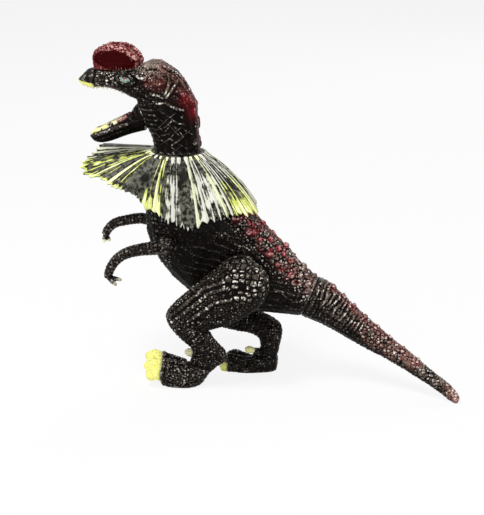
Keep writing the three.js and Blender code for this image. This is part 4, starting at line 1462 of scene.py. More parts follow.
        rings = 0.5 + 0.5 * np.cos(2 * math.pi * p[:, 2] / 2.4 + 0.8 * noise(p, 5.0, 24))
        skin.height += 0.25 * rings**2 * throat

    def neck_grooves(self) -> list[list[Point]]:
        """Gives the two folds that run beside the red swelling of the neck."""
        steps = ((1.2, 0.8, 1.6), (-1.9, -1.7, -0.7))
        return [[(x + a, y + b, z + c) for x, y, z in self.red_neck] for a, b, c in steps]

    def lattice(self, skin: Casting, neck: Array) -> None:
        """Raises thin lines that cross in diamonds on the sides of the neck.

        Args:
            skin: the head's casting.
            neck: how far each point belongs to the neck.
        """
        x, z = skin.points[:, 0], skin.points[:, 2]
        bent = 0.7 * noise(skin.points, 7.0, 25)
        region = Patch((-33.0, 75.0), (11.0, 12.0)).weight(skin.points) * neck
        for slope in (0.85, -0.85):
            phase = (z + slope * x) / 4.6 * math.pi + bent
            line = smoothstep(0.96, 1.0, np.abs(np.cos(phase)))
            skin.height += 0.22 * line * region * smoothstep(-0.3, 0.3, noise(skin.points, 3.0, 26))

    def upper_edge(self, skin: Casting) -> list[Array]:
        """Finds where the upper teeth stand: the outer bottom edge on the left.

        Args:
            skin: the head's casting.

        Returns:
            A place for each tooth, from the snout back.
        """
        p = skin.points
        found = []
        for x in np.arange(-79.6, -60.0, 1.75):
            close = p[(np.abs(p[:, 0] - x) < 0.4) & (p[:, 1] < -0.6) & (p[:, 2] > 86.0)]
            low = close[close[:, 2] < close[:, 2].min() + 0.7]
            outer = low[low[:, 1].argmin()]
            found.append(outer + np.array([0.0, 0.45, 0.1]))
        return found

    def paint(self, skin: Casting) -> None:
        """Marks the brushed scales, the red neck and crown, the pink nape and the yellow lip.

        Args:
            skin: the head's casting.
        """
        p = skin.points
        outward = skin.normals()
        snout = self.snout(p)
        skin.mark("brushed", 0.35 * snout)
        skin.mark("brushed", 0.3)
        skin.mark("dust", 0.85 * Patch((-45.0, 103.0), (7.0, 3.6), -8.0, 0.4).weight(p))
        skin.mark("brushed", 1.2 * Patch((-67.0, 97.6), (6.5, 4.6), 10.0).weight(p))
        skin.mark("brushed", 0.9 * Patch((-45.0, 102.0), (9.0, 4.5), -8.0).weight(p))
        for path in (self.brow, self.cheek_seam, *self.folds, *self.dashes):
            skin.mark("brushed", 1.3 * skin.near(path, 1.8))
        for path in self.neck_lines:
            skin.mark("brushed", 0.8 * skin.near(path, 1.0))
        skin.mark("brushed", 0.4 * Patch((-33.0, 75.0), (12.0, 13.0)).weight(p))
        skin.mark("cream", 0.7 * skin.near(self.cheek_seam[:3], 0.6))
        for path in self.folds[:2]:
            skin.mark("cream", 0.5 * skin.near(path, 0.6))
        below = smoothstep(-95.0, -94.6, -(p[:, 2] + 0.2 * (p[:, 0] + 74.0)))
        band = smoothstep(73.6, 74.4, -p[:, 0]) * below
        skin.mark("yellow", band)
        skin.mark("cream", 0.6 * band)
        lip = smoothstep(-93.9, -93.3, -(p[:, 2] - 0.11 * (p[:, 0] + 72.0))) * (np.abs(p[:, 1]) > 3.0)
        dots = smoothstep(0.0, 0.4, noise(p, 1.1, 27))
        skin.mark("cream", 0.7 * lip * dots * smoothstep(66.0, 68.0, -p[:, 0]))
        temple = Patch((-42.0, 96.6), (5.5, 3.6), -15.0, 0.5).weight(p)
        temple = temple * smoothstep(6.0, 7.5, np.abs(p[:, 1]))
        skin.mark("red", 0.15 * temple)
        skin.mark("pink", 0.5 * temple * smoothstep(-0.6, 0.2, noise(p, 2.2, 29)))
        skin.mark("brushed", 0.8 * temple)
        skin.mark("red", 0.95 * skin.near(self.red_neck[1:], 6.0))
        skin.mark("red", 0.15 * skin.near(self.red_neck, 6.5))
        skin.mark("pink", 0.9 * skin.near(self.nape, 9.0) * smoothstep(-0.6, 0.3, noise(p, 2.8, 35)))
        skin.mark("brushed", 0.9 * skin.near(self.nape, 9.0))
        skin.mark("red", 0.65 * skin.near(self.neck_back, 4.0))
        for path in self.neck_grooves():
            skin.marks["red"] *= 1.0 - 0.8 * skin.near(path, 0.9)
        skin.marks["red"] *= 0.6 + 0.4 * smoothstep(-0.5, 0.0, noise(p, 1.8, 36))
        palate = smoothstep(-0.75, -0.9, outward[:, 2]) * Patch((-68.0, 91.5), (10.0, 4.0), 8.0).weight(p)
        skin.mark("pink", 0.7 * palate)


@dataclass
class Crest:
    """One of the two crests on the skull, with a ribbed rim round a dark scoop."""

    side: Side
    grain: float = 0.24
    middle: Pair = (-61.4, 107.2)
    face_height: float = 6.0
    face_lean: float = 0.225
    depth: float = 1.15
    scoop: Pair = (-62.7, 106.1)
    scoop_half: Pair = (10.0, 4.8)
    scoop_turn: float = -7.0

    def build(self) -> None:
        """Casts, sculpts and paints the crest."""
        node_name = f"crest_{self.side.label}"
        skin = Casting.over(f"{node_name}_skin", [node_name], self.grain)
        skin.smooth(0.9)
        p = skin.points
        outward = skin.normals()[:, 1] * self.side.value
        x, z = p[:, 0] - self.middle[0], p[:, 2] - self.middle[1]
        outer = smoothstep(0.0, 0.4, outward)
        free = smoothstep(100.5, 102.5, p[:, 2])
        deep = Patch(self.scoop, self.scoop_half, self.scoop_turn, 0.07).weight(p) * outer
        floor = self.face_height + self.face_lean * z - self.depth * deep
        sunk = self.side.value * np.minimum(np.abs(p[:, 1]), floor)
        skin.points[:, 1] = np.where(deep > 0.0, sunk, p[:, 1])
        skin.smooth(0.5)
        rough = (1.0 - deep) * free
        skin.pebbles(1.2, 0.16, 71, rough)
        skin.height += 0.3 * smoothstep(-0.1, 0.6, noise(p, 1.6, 72)) * rough
        lower = outer * hump(z + 5.0, 1.6) * falloff(7.0, 10.5, np.abs(x))
        skin.height += 0.2 * lower * smoothstep(0.0, 1.0, np.sin(x * 4.5 + 1.5 * noise(p, 2.0, 73)))
        skin.press()
        skin.mark("rim", 1.0 - deep)
        top = smoothstep(-4.0, 5.0, z + 0.45 * x)
        skin.mark("brushed", (1.0 - deep) * (0.15 + 0.85 * top * smoothstep(-0.5, 0.3, noise(p, 2.8, 74))))
        skin.mark("brushed", 0.7 * lower)
        skin.mark("foot", falloff(100.8, 102.4, p[:, 2]))
        show(skin.finished(PaintedCrestPvc()), skin.name, "head", [node_name])


@dataclass
class LowerJaw:
    """The lower jaw with its lips, ridge and teeth, and the tongue in its trough."""

    grain: float = 0.28
    tip: Pair = (-76.5, 69.5)
    ridge: Path = ((-74.3, -3.9, 69.7), (-69.2, -5.2, 71.4), (-62.8, -6.0, 74.3), (-57.4, -6.8, 75.9))

    def axes(self) -> tuple[Array, Array]:
        """Works out how the jaw lies.

        Returns:
            The ways along it, from hinge to tip, and up from it.
        """
        along = np.array([self.tip[0] - JAW_HINGE[0], 0.0, self.tip[1] - JAW_HINGE[2]])
        along /= np.linalg.norm(along)
        return along, np.array([along[2], 0.0, -along[0]])

    def build(self) -> None:
        """Casts, sculpts and paints the jaw, then adds its teeth and the tongue."""
        skin = Casting.over("lower_jaw_skin", ["lower_jaw"], self.grain)
        along, up = self.axes()
        from_hinge = (skin.points - JAW_HINGE) @ along
        fixed = falloff(5.5, 7.0, from_hinge)
        skin.smooth(1.5, 1.0 - 0.9 * fixed)
        edge = self.upper_edge(skin)
        skin.stroke(edge, 1.3, 0.45)
        skin.stroke(self.ridge, 1.2, 0.55)
        skin.stroke([(x, y + 0.2, z - 2.2) for x, y, z in self.ridge], 1.2, -0.4)
        skin.pebbles(1.25, 0.18, 31, smoothstep(0.0, 1.5, np.abs(skin.points[:, 1]) - 2.5))
        skin.press(1.0 - fixed)
        p = skin.points
        from_hinge = (p - JAW_HINGE) @ along
        facing = skin.normals() @ up
        lip = skin.near(edge, 2.4)
        skin.mark("brushed", 0.25 * smoothstep(-0.3, 0.4, facing))
        skin.mark("brushed", 0.9 * skin.near(self.ridge, 1.4))
        skin.mark("brushed", 1.2 * lip)
        pale = smoothstep(0.25, 0.6, lip) * smoothstep(-0.3, 0.2, facing)
        front = smoothstep(13.5, 15.5, from_hinge)
        skin.mark("cream", 0.95 * pale * front * smoothstep(-0.45, -0.2, noise(p, 1.1, 32)))
        skin.mark("yellow", 0.4 * pale * front * smoothstep(0.0, 0.4, noise(p, 2.2, 33)))
        skin.mark("pink", 0.9 * pale * (1.0 - front) * smoothstep(6.0, 8.0, from_hinge))
        skin.mark("red", 0.3 * pale * (1.0 - front) * smoothstep(6.0, 8.0, from_hinge))
        stops = (np.array(edge) - JAW_HINGE) @ along
        width = np.interp(from_hinge, stops, np.abs(np.array(edge)[:, 1]))
        inner = smoothstep(0.0, 0.4, facing) * falloff(-1.1, -0.4, np.abs(p[:, 1]) - width)
        skin.mark("pink", 0.9 * inner)
        show(skin.finished(BLACK_PVC), skin.name, "jaw", ["lower_jaw"])
        ToothRow("lower_teeth", "jaw", 42).build(
            [place - up * 0.2 + np.array([0.0, 0.7, 0.0]) for place in edge[1:]], tuple(up - 0.12 * along),
        )
        tongue = Casting.over("tongue_skin", ["tongue"], 0.25)
        tongue.smooth(1.2)
        tongue.height -= 0.35 * hump(tongue.points[:, 1], 1.2) * smoothstep(0.3, 0.7, tongue.normals() @ up)
        tongue.pebbles(0.9, 0.08, 34)
        tongue.press()
        show(tongue.finished(TONGUE_PVC), tongue.name, "jaw", ["tongue"])

    def upper_edge(self, skin: Casting) -> list[Array]:
        """Finds the left lip.

        Args:
            skin: the jaw's casting.

        Returns:
            Places along it, from near the hinge to the tip.
        """
        along, up = self.axes()
        from_hinge, rise = (skin.points - JAW_HINGE) @ along, (skin.points - JAW_HINGE) @ up
        found = []
        for stop in np.arange(10.5, from_hinge.max() - 1.0, 1.7):
            close = (np.abs(from_hinge - stop) < 0.4) & (skin.points[:, 1] < -0.4)
            high = skin.points[close & (rise > rise[close].max() - 0.5)]
            found.append(high[high[:, 1].argmin()] + np.array([0.0, 0.3, 0.0]))
        return found


# Ruff


@dataclass
class Ruff:
    """The pleated collar: a flat web under the neck, then a skirt of ribs that ends in a zigzag hem.

    Its middle surface follows the CAD ruff, and the ribs, the hem and the beads round the neck are
    built on that. Headings are angles round the neck, from the snout's way.
    """

    pleats: int = 42
    steps_per_rib: int = 12
    rows: int = 34
    ring_radius: float = 12.3
    hole_radius: float = 5.3
    web_height: float = 1.2
    half_thickness: Pair = (0.6, 0.3)
    rib_height: float = 0.65
    folds: int = 13
    fold_height: float = 0.6
    skirt_length: float = 28.0
    hem_point: float = 2.4
    hem_wave: float = 2.2
    beads: int = 28
    web_rows: int = 4
    # Stations that the CAD ruff has from ring to hem, and the waves round the neck that are kept of it.
    sections: int = 5
    waves: int = 24
    # Middle and half width, in degrees round the neck, of where the paint changes.
    yellow_fans: tuple[Pair, ...] = ((21.0, 25.0), (73.0, 7.0), (-78.0, 9.0))
    yellow_hems: tuple[Pair, ...] = ((160.0, 13.0), (70.0, 8.0), (-40.0, 9.0), (-150.0, 14.0))
    smeared_fans: tuple[Pair, ...] = ((5.0, 8.0), (94.0, 9.0), (130.0, 15.0), (-90.0, 25.0))
    bare_panels: tuple[Pair, ...] = (
        (55.0, 9.0), (83.0, 2.5), (109.0, 5.0), (-25.0, 5.0), (-60.0, 8.0), (-110.0, 6.0),
    )

    def middle(self) -> tuple[Array, Array]:
        """Reads the skirt's middle surface from the CAD ruff.

        Returns:
            Distances from the neck's axis and heights, one row for each heading and a column for
            each station from the ring to the hem.
        """
        mesh = frame["nodes"]["neck_ruff"].data
        points = np.array([v.co for v in mesh.vertices]) / MM - HIP
        points = np.unique(np.round(points, 3), axis=0)
        out = points[:, 0] - NECK[0], points[:, 1]
        heading = np.arctan2(-out[1], -out[0])
        radius = np.hypot(*out)
        count = 2 * self.pleats
        which = np.round(heading / (2 * math.pi) * count).astype(int) % count
        base = NECK[2] + 0.3
        table = np.zeros((count, self.sections, 2))
        table[:, 0] = (self.ring_radius, base + self.web_height / 2)
        for i in range(count):
            own = (which == i) & (radius > self.ring_radius + 0.3)
            section = np.stack([radius[own], points[own, 2]], 1)
            far = np.hypot(section[:, 0] - self.ring_radius, section[:, 1] - base)
            table[i, 1:] = section[np.argsort(far)].reshape(-1, 2, 2).mean(1)
        for _ in range(2):
            table = table / 2 + (np.roll(table, 1, 0) + np.roll(table, -1, 0)) / 4
        return table[..., 0], table[..., 1]

    def fan(self, turn: Array, fans: tuple[Pair, ...]) -> Array:
        """Gives how far headings lie in any of some fans.

        Args:
            turn: the headings.
            fans: each fan's middle and half width, in degrees.

        Returns:
            1 well inside a fan, 0 outside them all.
        """
        degrees = np.degrees(turn)
        gaps = [np.abs((degrees - middle + 180.0) % 360.0 - 180.0) / width for middle, width in fans]
        return falloff(0.8, 1.2, np.min(gaps, axis=0))

    def ribs(self, turn: Array) -> tuple[Array, Array, Array]:
        """Lays out the ribs, unevenly spaced as hand-cut ones are.

        Args:
            turn: the headings.

        Returns:
            The ribs' rise, the hem's points and each rib's own number, for each heading.
        """
        count = 2 * self.pleats
        phase = turn / (2 * math.pi) * count + 0.6 * noise(self.on_ring(turn), 2.6, 62)
        number = np.round(phase).astype(int) % count
        draw = scattered(np.stack([np.arange(count)] * 3, -1), 61, 2)
        wide = (0.5 + 0.5 * np.cos(2 * math.pi * phase)) ** (0.7 + 1.6 * draw[number, 1])
        fine = (0.5 + 0.5 * np.cos(6 * math.pi * phase + 0.9)) ** 2
        bare = self.fan(turn, self.bare_panels)
        rib = (wide * (0.5 + 0.5 * draw[number, 0]) + 0.3 * fine) * (1.0 - 0.85 * bare)
        tooth = 1.0 - 2.0 * np.abs(phase - np.round(phase))
        point = tooth * (0.15 + 0.85 * draw[number, 1])
        return rib, point, draw[number, 0]

    def on_ring(self, turn: Array) -> Array:
        """Gives places on a flat ring as wide as the neck, for noise that closes on itself."""
        return np.stack([np.cos(turn), np.sin(turn), 0 * turn], 1) * self.ring_radius

    def collar(self, turn: Array, along: Array) -> tuple[Array, Array]:
        """Lays out the uneven beads round the neck.

        Args:
            turn: the headings.
            along: shares of the way from the neck to the hem.

        Returns:
            The beads' rise, and each bead's own number.
        """
        phase = turn / (2 * math.pi) * self.beads
        number = np.round(phase).astype(int) % self.beads
        draw = scattered(np.stack([np.arange(self.beads)] * 3, -1), 64, 3)[number]
        offset = phase - np.round(phase) - 0.3 * (draw[:, 0] - 0.5)
        size = 0.25 + 0.75 * draw[:, 1]
        across = np.sqrt(np.clip(1.0 - (offset / (0.2 + 0.2 * size)) ** 2, 0.0, 1.0))
        reach = (0.05 + 0.09 * size)[:, None]
        tapered = np.clip(across[:, None] - 0.7 * along / reach, 0.0, 1.0)
        return tapered * (along > 0) * (0.4 + 0.6 * size)[:, None], draw[:, 2]

    def build(self) -> None:
        """Builds the ruff's mesh, marks its ribs and beads, and puts it in place."""
        headings = 2 * self.pleats * self.steps_per_rib
        turn = np.arange(headings) * 2 * math.pi / headings
        share = np.linspace(0.0, 1.0, self.rows)
        rib, point, draw = self.ribs(turn)
        radius, height = (self.resampled(t, headings) for t in self.middle())
        hem = (point - 0.5) * self.hem_point + self.hem_wave * noise(self.on_ring(turn), 3.4, 65)
        stretch = 1.0 + hem[:, None] / self.skirt_length * share**3
        weights = self.stations(np.clip(share[None, :] * stretch, 0.0, 1.06))
        r = np.einsum("hsk,hk->hs", weights, radius)
        z = np.einsum("hsk,hk->hs", weights, height)
        web = np.linspace(self.hole_radius, self.ring_radius - 1.0, self.web_rows)
        r = np.concatenate([np.tile(web, (headings, 1)), r], 1)
        z = np.concatenate([np.full((headings, self.web_rows), height[:, :1].mean()), z], 1)
        along = np.concatenate([np.zeros(self.web_rows), share])
        grid = np.stack([NECK[0] - r * np.cos(turn)[:, None], -r * np.sin(turn)[:, None], z], -1)
        normal = np.cross(np.gradient(grid, axis=1), np.roll(grid, -1, 0) - np.roll(grid, 1, 0))
        normal /= np.linalg.norm(normal, axis=-1, keepdims=True)
        normal *= np.sign(normal[..., 2:].mean())
        swing = turn * self.folds + 1.2 * noise(self.on_ring(turn), 5.0, 66)
        fold = self.fold_height * np.cos(swing)[:, None] * along**1.5
        skirt = along > 0
        rib_rise = self.rib_height * rib[:, None] * (0.35 + 0.65 * smoothstep(0.02, 0.25, along)) * skirt
        bead, bead_draw = self.collar(turn, along)
        half = self.half_thickness[0] + (self.half_thickness[1] - self.half_thickness[0]) * along
        upper = grid + normal * (fold + half + rib_rise + 1.0 * bead)[..., None]
        lower = grid + normal * (fold - half + 0.4 * rib_rise)[..., None]
        loop = np.concatenate([upper, lower[:, ::-1]], 1)
        fans = self.fan(turn, self.yellow_fans)
        hems = self.fan(turn, self.yellow_hems)
        strength = 0.62 + 0.06 * fans - 0.4 * self.fan(turn, self.bare_panels) + 0.55 * (draw - 0.45)
        sweep = smoothstep(0.0, 0.1, along) * (0.72 + 0.28 * smoothstep(0.3, 0.9, along))
        wander = noise(grid.reshape(-1, 3), 3.2, 67).reshape(r.shape)
        paint = smoothstep(0.22, 0.72, rib)[:, None] * (strength[:, None] + 0.3 * wander) * sweep
        smeared = self.fan(turn, self.smeared_fans)[:, None] * smoothstep(0.08, 0.35, along)
        paint = np.maximum(paint, (0.36 + 0.3 * wander) * smeared)
        paint = np.maximum(paint, 0.62 * hems[:, None] * smoothstep(0.55, 0.95, along))
        paint = np.maximum(paint, 1.2 * smoothstep(0.1, 0.35, bead))
        paint = np.maximum(paint, (0.35 + 0.35 * fans)[:, None] * smoothstep(0.93, 1.0, along))
        yellow = 0.3 + 0.7 * fans[:, None] + hems[:, None] * smoothstep(0.4, 0.75, along)
        yellow = yellow + 0.4 * (draw[:, None] - 0.5)
        yellow = np.where(bead > 0.1, (0.25 + 0.6 * bead_draw)[:, None], yellow)
        columns = loop.shape[1]
        marks = {
            "paint": np.concatenate([paint, 0.35 * paint[:, ::-1]], 1),
            "along": np.tile(np.concatenate([along, along[::-1]]), (headings, 1)),
            "around": np.repeat(turn[:, None], columns, 1) * self.ring_radius,
            "yellow": np.concatenate([yellow, yellow[:, ::-1]], 1),
        }
        mesh = self.closed(loop)
        write_marks(mesh, BrushedRuffPvc(), {name: value.ravel() for name, value in marks.items()})
        show(mesh, "ruff_sheet", "torso", ["neck_ruff"])

    def resampled(self, table: Array, count: int) -> Array:
        """Gives a table that goes once round, smoothly, at more headings."""
        waves = np.fft.rfft(table, axis=0)[:self.waves]
        return np.fft.irfft(waves, count, axis=0) * count / len(table)

    def stations(self, share: Array) -> Array:
        """Gives the weights of the CAD ruff's stations between the ring and the hem.

        Args:
            share: shares of the way to the hem.

        Returns:
            For each share, the weight of each station.
        """
        knots = np.linspace(0.0, 1.0, self.sections)
        weights = []
        for i, knot in enumerate(knots):
            others = np.delete(knots, i)
            weights.append(np.prod((share[..., None] - others) / (knot - others), -1))
        return np.stack(weights, -1)

    def closed(self, loop: Array) -> Mesh:
        """Makes the closed mesh.

        Args:
            loop: the section's loop of places at each heading, once round the neck.

        Returns:
            The mesh.
        """
        count, around = loop.shape[:2]
        i, k = np.meshgrid(np.arange(count), np.arange(around), indexing="ij")
        next_i, next_k = (i + 1) % count, (k + 1) % around
        faces = np.stack(
            [i * around + k, i * around + next_k, next_i * around + next_k, next_i * around + k], -1,
        ).reshape(-1, 4)
        return plain_mesh("ruff_sheet", loop.reshape(-1, 3), faces.tolist())


# Tail


@dataclass
class Tail:
    """The tail, ringed with wrinkles, with red knobs along its top and a pink tip."""

    grain: float = 0.36
    line: Path = (
        (32.2, 0.0, -9.7), (39.2, -0.2, -12.8), (47.0, -0.6, -18.0), (55.0, -1.9, -23.4), (63.6, -4.0, -28.3),
        (73.3, -7.0, -33.5), (83.7, -10.7, -38.9), (93.6, -14.5, -44.5), (101.8, -18.1, -49.0),
        (107.5, -21.3, -53.2),
    )
    knobs: Path = (
        (43.5, -0.3, -5.1), (48.8, -0.6, -9.9), (54.4, -1.3, -14.6), (60.1, -2.6, -19.1), (66.0, -4.2, -23.4),
        (72.7, -6.3, -28.0), (79.8, -8.7, -32.4), (87.1, -11.4, -36.8),
    )
    # Distance between wrinkles, then spacing and height of the scales.
    ring: float = 2.4
    root_scales: Pair = (1.5, 0.22)
    tip_scales: Pair = (1.75, 0.5)

    def build(self) -> None:
        """Casts, sculpts and paints the tail."""
        skin = Casting.over("tail_skin", ["tail"], self.grain)
        fixed = falloff(0.4, 2.2, (skin.points - TAIL_ROOT) @ TAIL_AIM)
        skin.smooth(2.1, 1.0 - 0.9 * fixed)
        p = skin.points
        _, reach = along_path(p, self.line)
        top = smoothstep(-0.25, 0.45, skin.normals()[:, 2])
        slim = 1.0 - 0.45 * smoothstep(40.0, 90.0, reach)
        phase = reach / self.ring + 0.45 * noise(p, 4.5, 51)
        wrinkle = (0.5 + 0.5 * np.cos(2 * math.pi * phase)) ** 2
        rooted = falloff(22.0, 42.0, reach)
        skin.height += (0.18 + 0.3 * top) * rooted * wrinkle * smoothstep(-0.55, 0.1, noise(p, 3.2, 52))
        skin.pebbles(*self.root_scales, 53, rooted)
        skin.pebbles(*self.tip_scales, 55, (1.0 - rooted) * slim)
        size = np.linspace(1.0, 0.6, len(self.knobs))
        for place, scale in zip(self.knobs, size):
            skin.domes([place], 2.0 * scale, 0.7 * scale, both=False)
        skin.press(1.0 - fixed)
        # Brush paint, dust and the painted highlights that the brush carries lie mostly on faces that turn
        # up, so the tail is lighter on top.
        skin.mark("brushed", (0.2 + 0.8 * top) * (1.0 - fixed))
        tan = (0.45 + 0.4 * smoothstep(20.0, 60.0, reach)) * smoothstep(-0.6, 0.1, noise(p, 3.4, 57))
        skin.mark("dust", tan * smoothstep(-0.4, 0.4, skin.normals()[:, 2]) * (1.0 - fixed))
        crest = falloff(2.5, 5.5, along_path(p, self.knobs)[0])
        skin.mark("red", 0.35 * crest * smoothstep(-0.1, 0.4, noise(p, 3.0, 54)))
        flush = Patch((72.0, -30.0), (17.0, 5.5), -30.0, 0.4).weight(p)
        skin.mark("pink", 0.75 * flush * smoothstep(-0.5, 0.4, noise(p, 3.2, 56)))
        skin.mark("pink", 0.8 * crest)
        skin.mark("dust", 0.7 * crest)
        skin.mark("pink", smoothstep(98.0, 107.0, p[:, 0]))
        show(skin.finished(BLACK_PVC), skin.name, "tail", ["tail"])


# Legs and arms


@dataclass
class Leg:
    """One leg, from the round thigh to the yellow claws.

    The claws' roots are distances from the mid-plane and the X at each, and pared are places where
    skin comes off, with radius and depth. The thigh's ridges are swung by ridge_turn degrees.
    """

    side: Side
    ridge_turn: float
    toes: tuple[tuple[Point, Point], ...]
    claw_roots: tuple[tuple[float, ...], tuple[float, ...]]
    claw_height: float
    hallux: Swelling
    claw_lumps: tuple[Swelling, ...]
    pared: tuple[tuple[Point, float, float], ...]
    brushing: float
    shin: Path
    speck_rows: tuple[Path, ...]
    grain: float = 0.36
    # Spacing and height of the scales.
    thigh_scales: Pair = (3.0, 0.9)
    leg_scales: Pair = (1.35, 0.36)
    # How far the skin is let in where it swings past the torso.
    body_room: float = 0.45
    ridges: tuple[Path, ...] = (
        ((-34.2, -24.6, -16.3), (-24.0, -25.0, -6.2), (-16.7, -24.4, 0.1), (-5.2, -25.3, 4.6)),
        ((-33.1, -25.4, -18.0), (-21.4, -26.3, -8.2), (-14.0, -25.7, -1.8), (-4.2, -26.2, 1.4)),
        ((-31.3, -25.0, -22.3), (-18.8, -27.0, -11.9), (-11.4, -26.7, -6.5), (-3.2, -26.4, -4.6)),
    )

    def build(self) -> None:
        """Casts, sculpts and paints the leg."""
        node_name = f"leg_{self.side.label}"
        lumps = (self.hallux, *self.claw_lumps)
        skin = Casting.over(f"{node_name}_skin", [node_name], self.grain, lumps)
        p = skin.points
        inner = falloff(14.4, 16.2, np.abs(p[:, 1]))
        seat = inner * falloff(12.8, 14.4, from_axis(p))
        swept = inner * falloff(30.0, 36.0, from_axis(p))
        sole = falloff(-54.4, -53.6, p[:, 2])
        fixed = np.maximum(seat, sole)
        skin.smooth(2.0, 1.0 - 0.92 * fixed)
        self.sculpt(skin)
        skin.height -= self.body_room * swept
        skin.press(1.0 - fixed)
        self.paint(skin)
        show(skin.finished(BLACK_PVC), skin.name, f"{self.side.label}_leg", [node_name])

    def own(self, path: Sequence[Point]) -> list[Point]:
        """Puts a line drawn on the left thigh onto this leg, swung as far as the leg is."""
        return [(x, -self.side.value * y, z) for x, y, z in turned(path, self.ridge_turn)]

    def claws(self, p: Array) -> tuple[Array, Array]:
        """Measures points against the claws.

        Args:
            p: places in millimetres.

        Returns:
            How far each lies behind the claws' roots, and whether it is on a toe.
        """
        across, x = self.claw_roots
        root = np.interp(np.abs(p[:, 1]), across, x)
        return p[:, 0] - root, smoothstep(self.claw_height, self.claw_height - 1.0, p[:, 2])

    def sculpt(self, skin: Casting) -> None:
        """Raises pebbles, bead ridges and claws, and cuts the gaps between the toes.

        Args:
            skin: the leg's casting.
        """
        p = skin.points
        top = Patch((3.0, 3.5), (11.5, 10.0), 10.0).weight(p) * smoothstep(14.5, 17.0, np.abs(p[:, 1]))
        back, on_toe = self.claws(p)
        claw = falloff(-0.4, 0.4, back) * on_toe
        foot = falloff(-41.0, -37.0, p[:, 2])
        skin.pebbles(*self.thigh_scales, 11, top)
        skin.pebbles(*self.leg_scales, 12, (1.0 - top) * (1.0 - claw))
        for path in self.ridges:
            skin.domes(spaced(self.own(path), 1.7), 1.05, 0.6, both=False)
        skin.height += on_toe * (0.35 * hump(back - 1.3, 1.2) - 0.5 * hump(back, 0.8))
        for (root, tip), (next_root, next_tip) in zip(self.toes[:-1], self.toes[1:]):
            gap = (np.array([root, tip]) + np.array([next_root, next_tip])) / 2
            gap[:, 2] += (1.6, 1.9)
            skin.stroke([tuple(place) for place in gap], 1.8, -0.8, both=False)
        for path in self.speck_rows:
            skin.domes(spaced(path, 1.5), 0.8, 0.5, both=False)
        for place, radius, depth in self.pared:
            distance = np.linalg.norm((p - place) * (1.0, 0.6, 0.7), axis=1)
            skin.height -= depth * hump(distance, radius) * smoothstep(1.1, 1.4, self.hallux.inside(p))
        around = 0.5 + 0.5 * np.cos(2 * math.pi * along_path(p, self.shin)[1] / 2.2 + noise(p, 4.0, 13))
        shin = smoothstep(-20.0, -28.0, p[:, 2]) * (1.0 - foot)
        skin.height += 0.2 * around**2 * shin

    def paint(self, skin: Casting) -> None:
        """Marks the claws, the brushed pebbles and the speck rows.

        Args:
            skin: the leg's casting.
        """
        p = skin.points
        back, on_toe = self.claws(p)
        skin.mark("yellow", falloff(-0.35, 0.1, back) * on_toe)
        # A cream line along the claws' roots: painted highlight on the claws' rim.
        skin.mark("cream", 0.8 * hump(back - 0.25, 0.35) * on_toe)
        out = self.hallux.inside(p)
        skin.mark("cream", falloff(1.2, 1.4, out))
        skin.mark("yellow", 0.75 * falloff(0.95, 1.1, out))
        # The spur is marked as standing up, so it gets the full pale yellow and none of the ochre painted
        # shade of a crease.
        spur = falloff(1.0, 1.2, out)
        skin.marks["raised"] = np.maximum(skin.marks["raised"], 0.05 * spur)
        top = Patch((3.0, 3.5), (12.5, 11.0), 10.0).weight(p) * smoothstep(13.0, 15.0, np.abs(p[:, 1]))
        skin.mark("brushed", top)
        skin.mark("brushed", self.brushing)
        for path in self.ridges:
            skin.mark("brushed", 1.1 * skin.near(self.own(path), 2.0, both=False))
        for path in self.speck_rows:
            skin.mark("brushed", 1.4 * skin.near(path, 1.8, both=False))
        # Brush paint and the painted highlights that it carries fade out on faces that turn down, so the leg
        # is lighter on top.
        skin.marks["brushed"] = skin.marks["brushed"] * smoothstep(-0.7, 0.0, skin.normals()[:, 2])


@dataclass
class Arm:
    """One short arm with wrinkled skin and pale fingertips."""

    side: Side
    line: Path
    fingertips: Path
    tip_paint: float
    grain: float = 0.26

    def build(self) -> None:
        """Casts, sculpts and paints the arm."""
        node_name = f"arm_{self.side.label}"
        skin = Casting.over(f"{node_name}_skin", [node_name], self.grain)
        seat = smoothstep(-12.9, -12.5, -np.abs(skin.points[:, 1]))
        fixed = seat * falloff(4.6, 5.4, from_axis(skin.points, SHOULDER))
        skin.smooth(1.2, 1.0 - 0.9 * fixed)
        p = skin.points
        _, reach = along_path(p, self.line)
        wrinkle = 0.5 + 0.5 * np.cos(2 * math.pi * reach / 1.9 + 1.4 * noise(p, 3.0, 82))
        skin.height += 0.16 * wrinkle**2 * smoothstep(3.0, 6.0, reach)
        skin.pebbles(1.05, 0.14, 81)
        skin.press(1.0 - fixed)
        skin.mark("brushed", 0.32)
        for tip in self.fingertips:
            skin.mark("cream", self.tip_paint * falloff(1.5, 2.1, np.linalg.norm(p - tip, axis=1)))
        show(skin.finished(BLACK_PVC), skin.name, f"{self.side.label}_arm", [node_name])


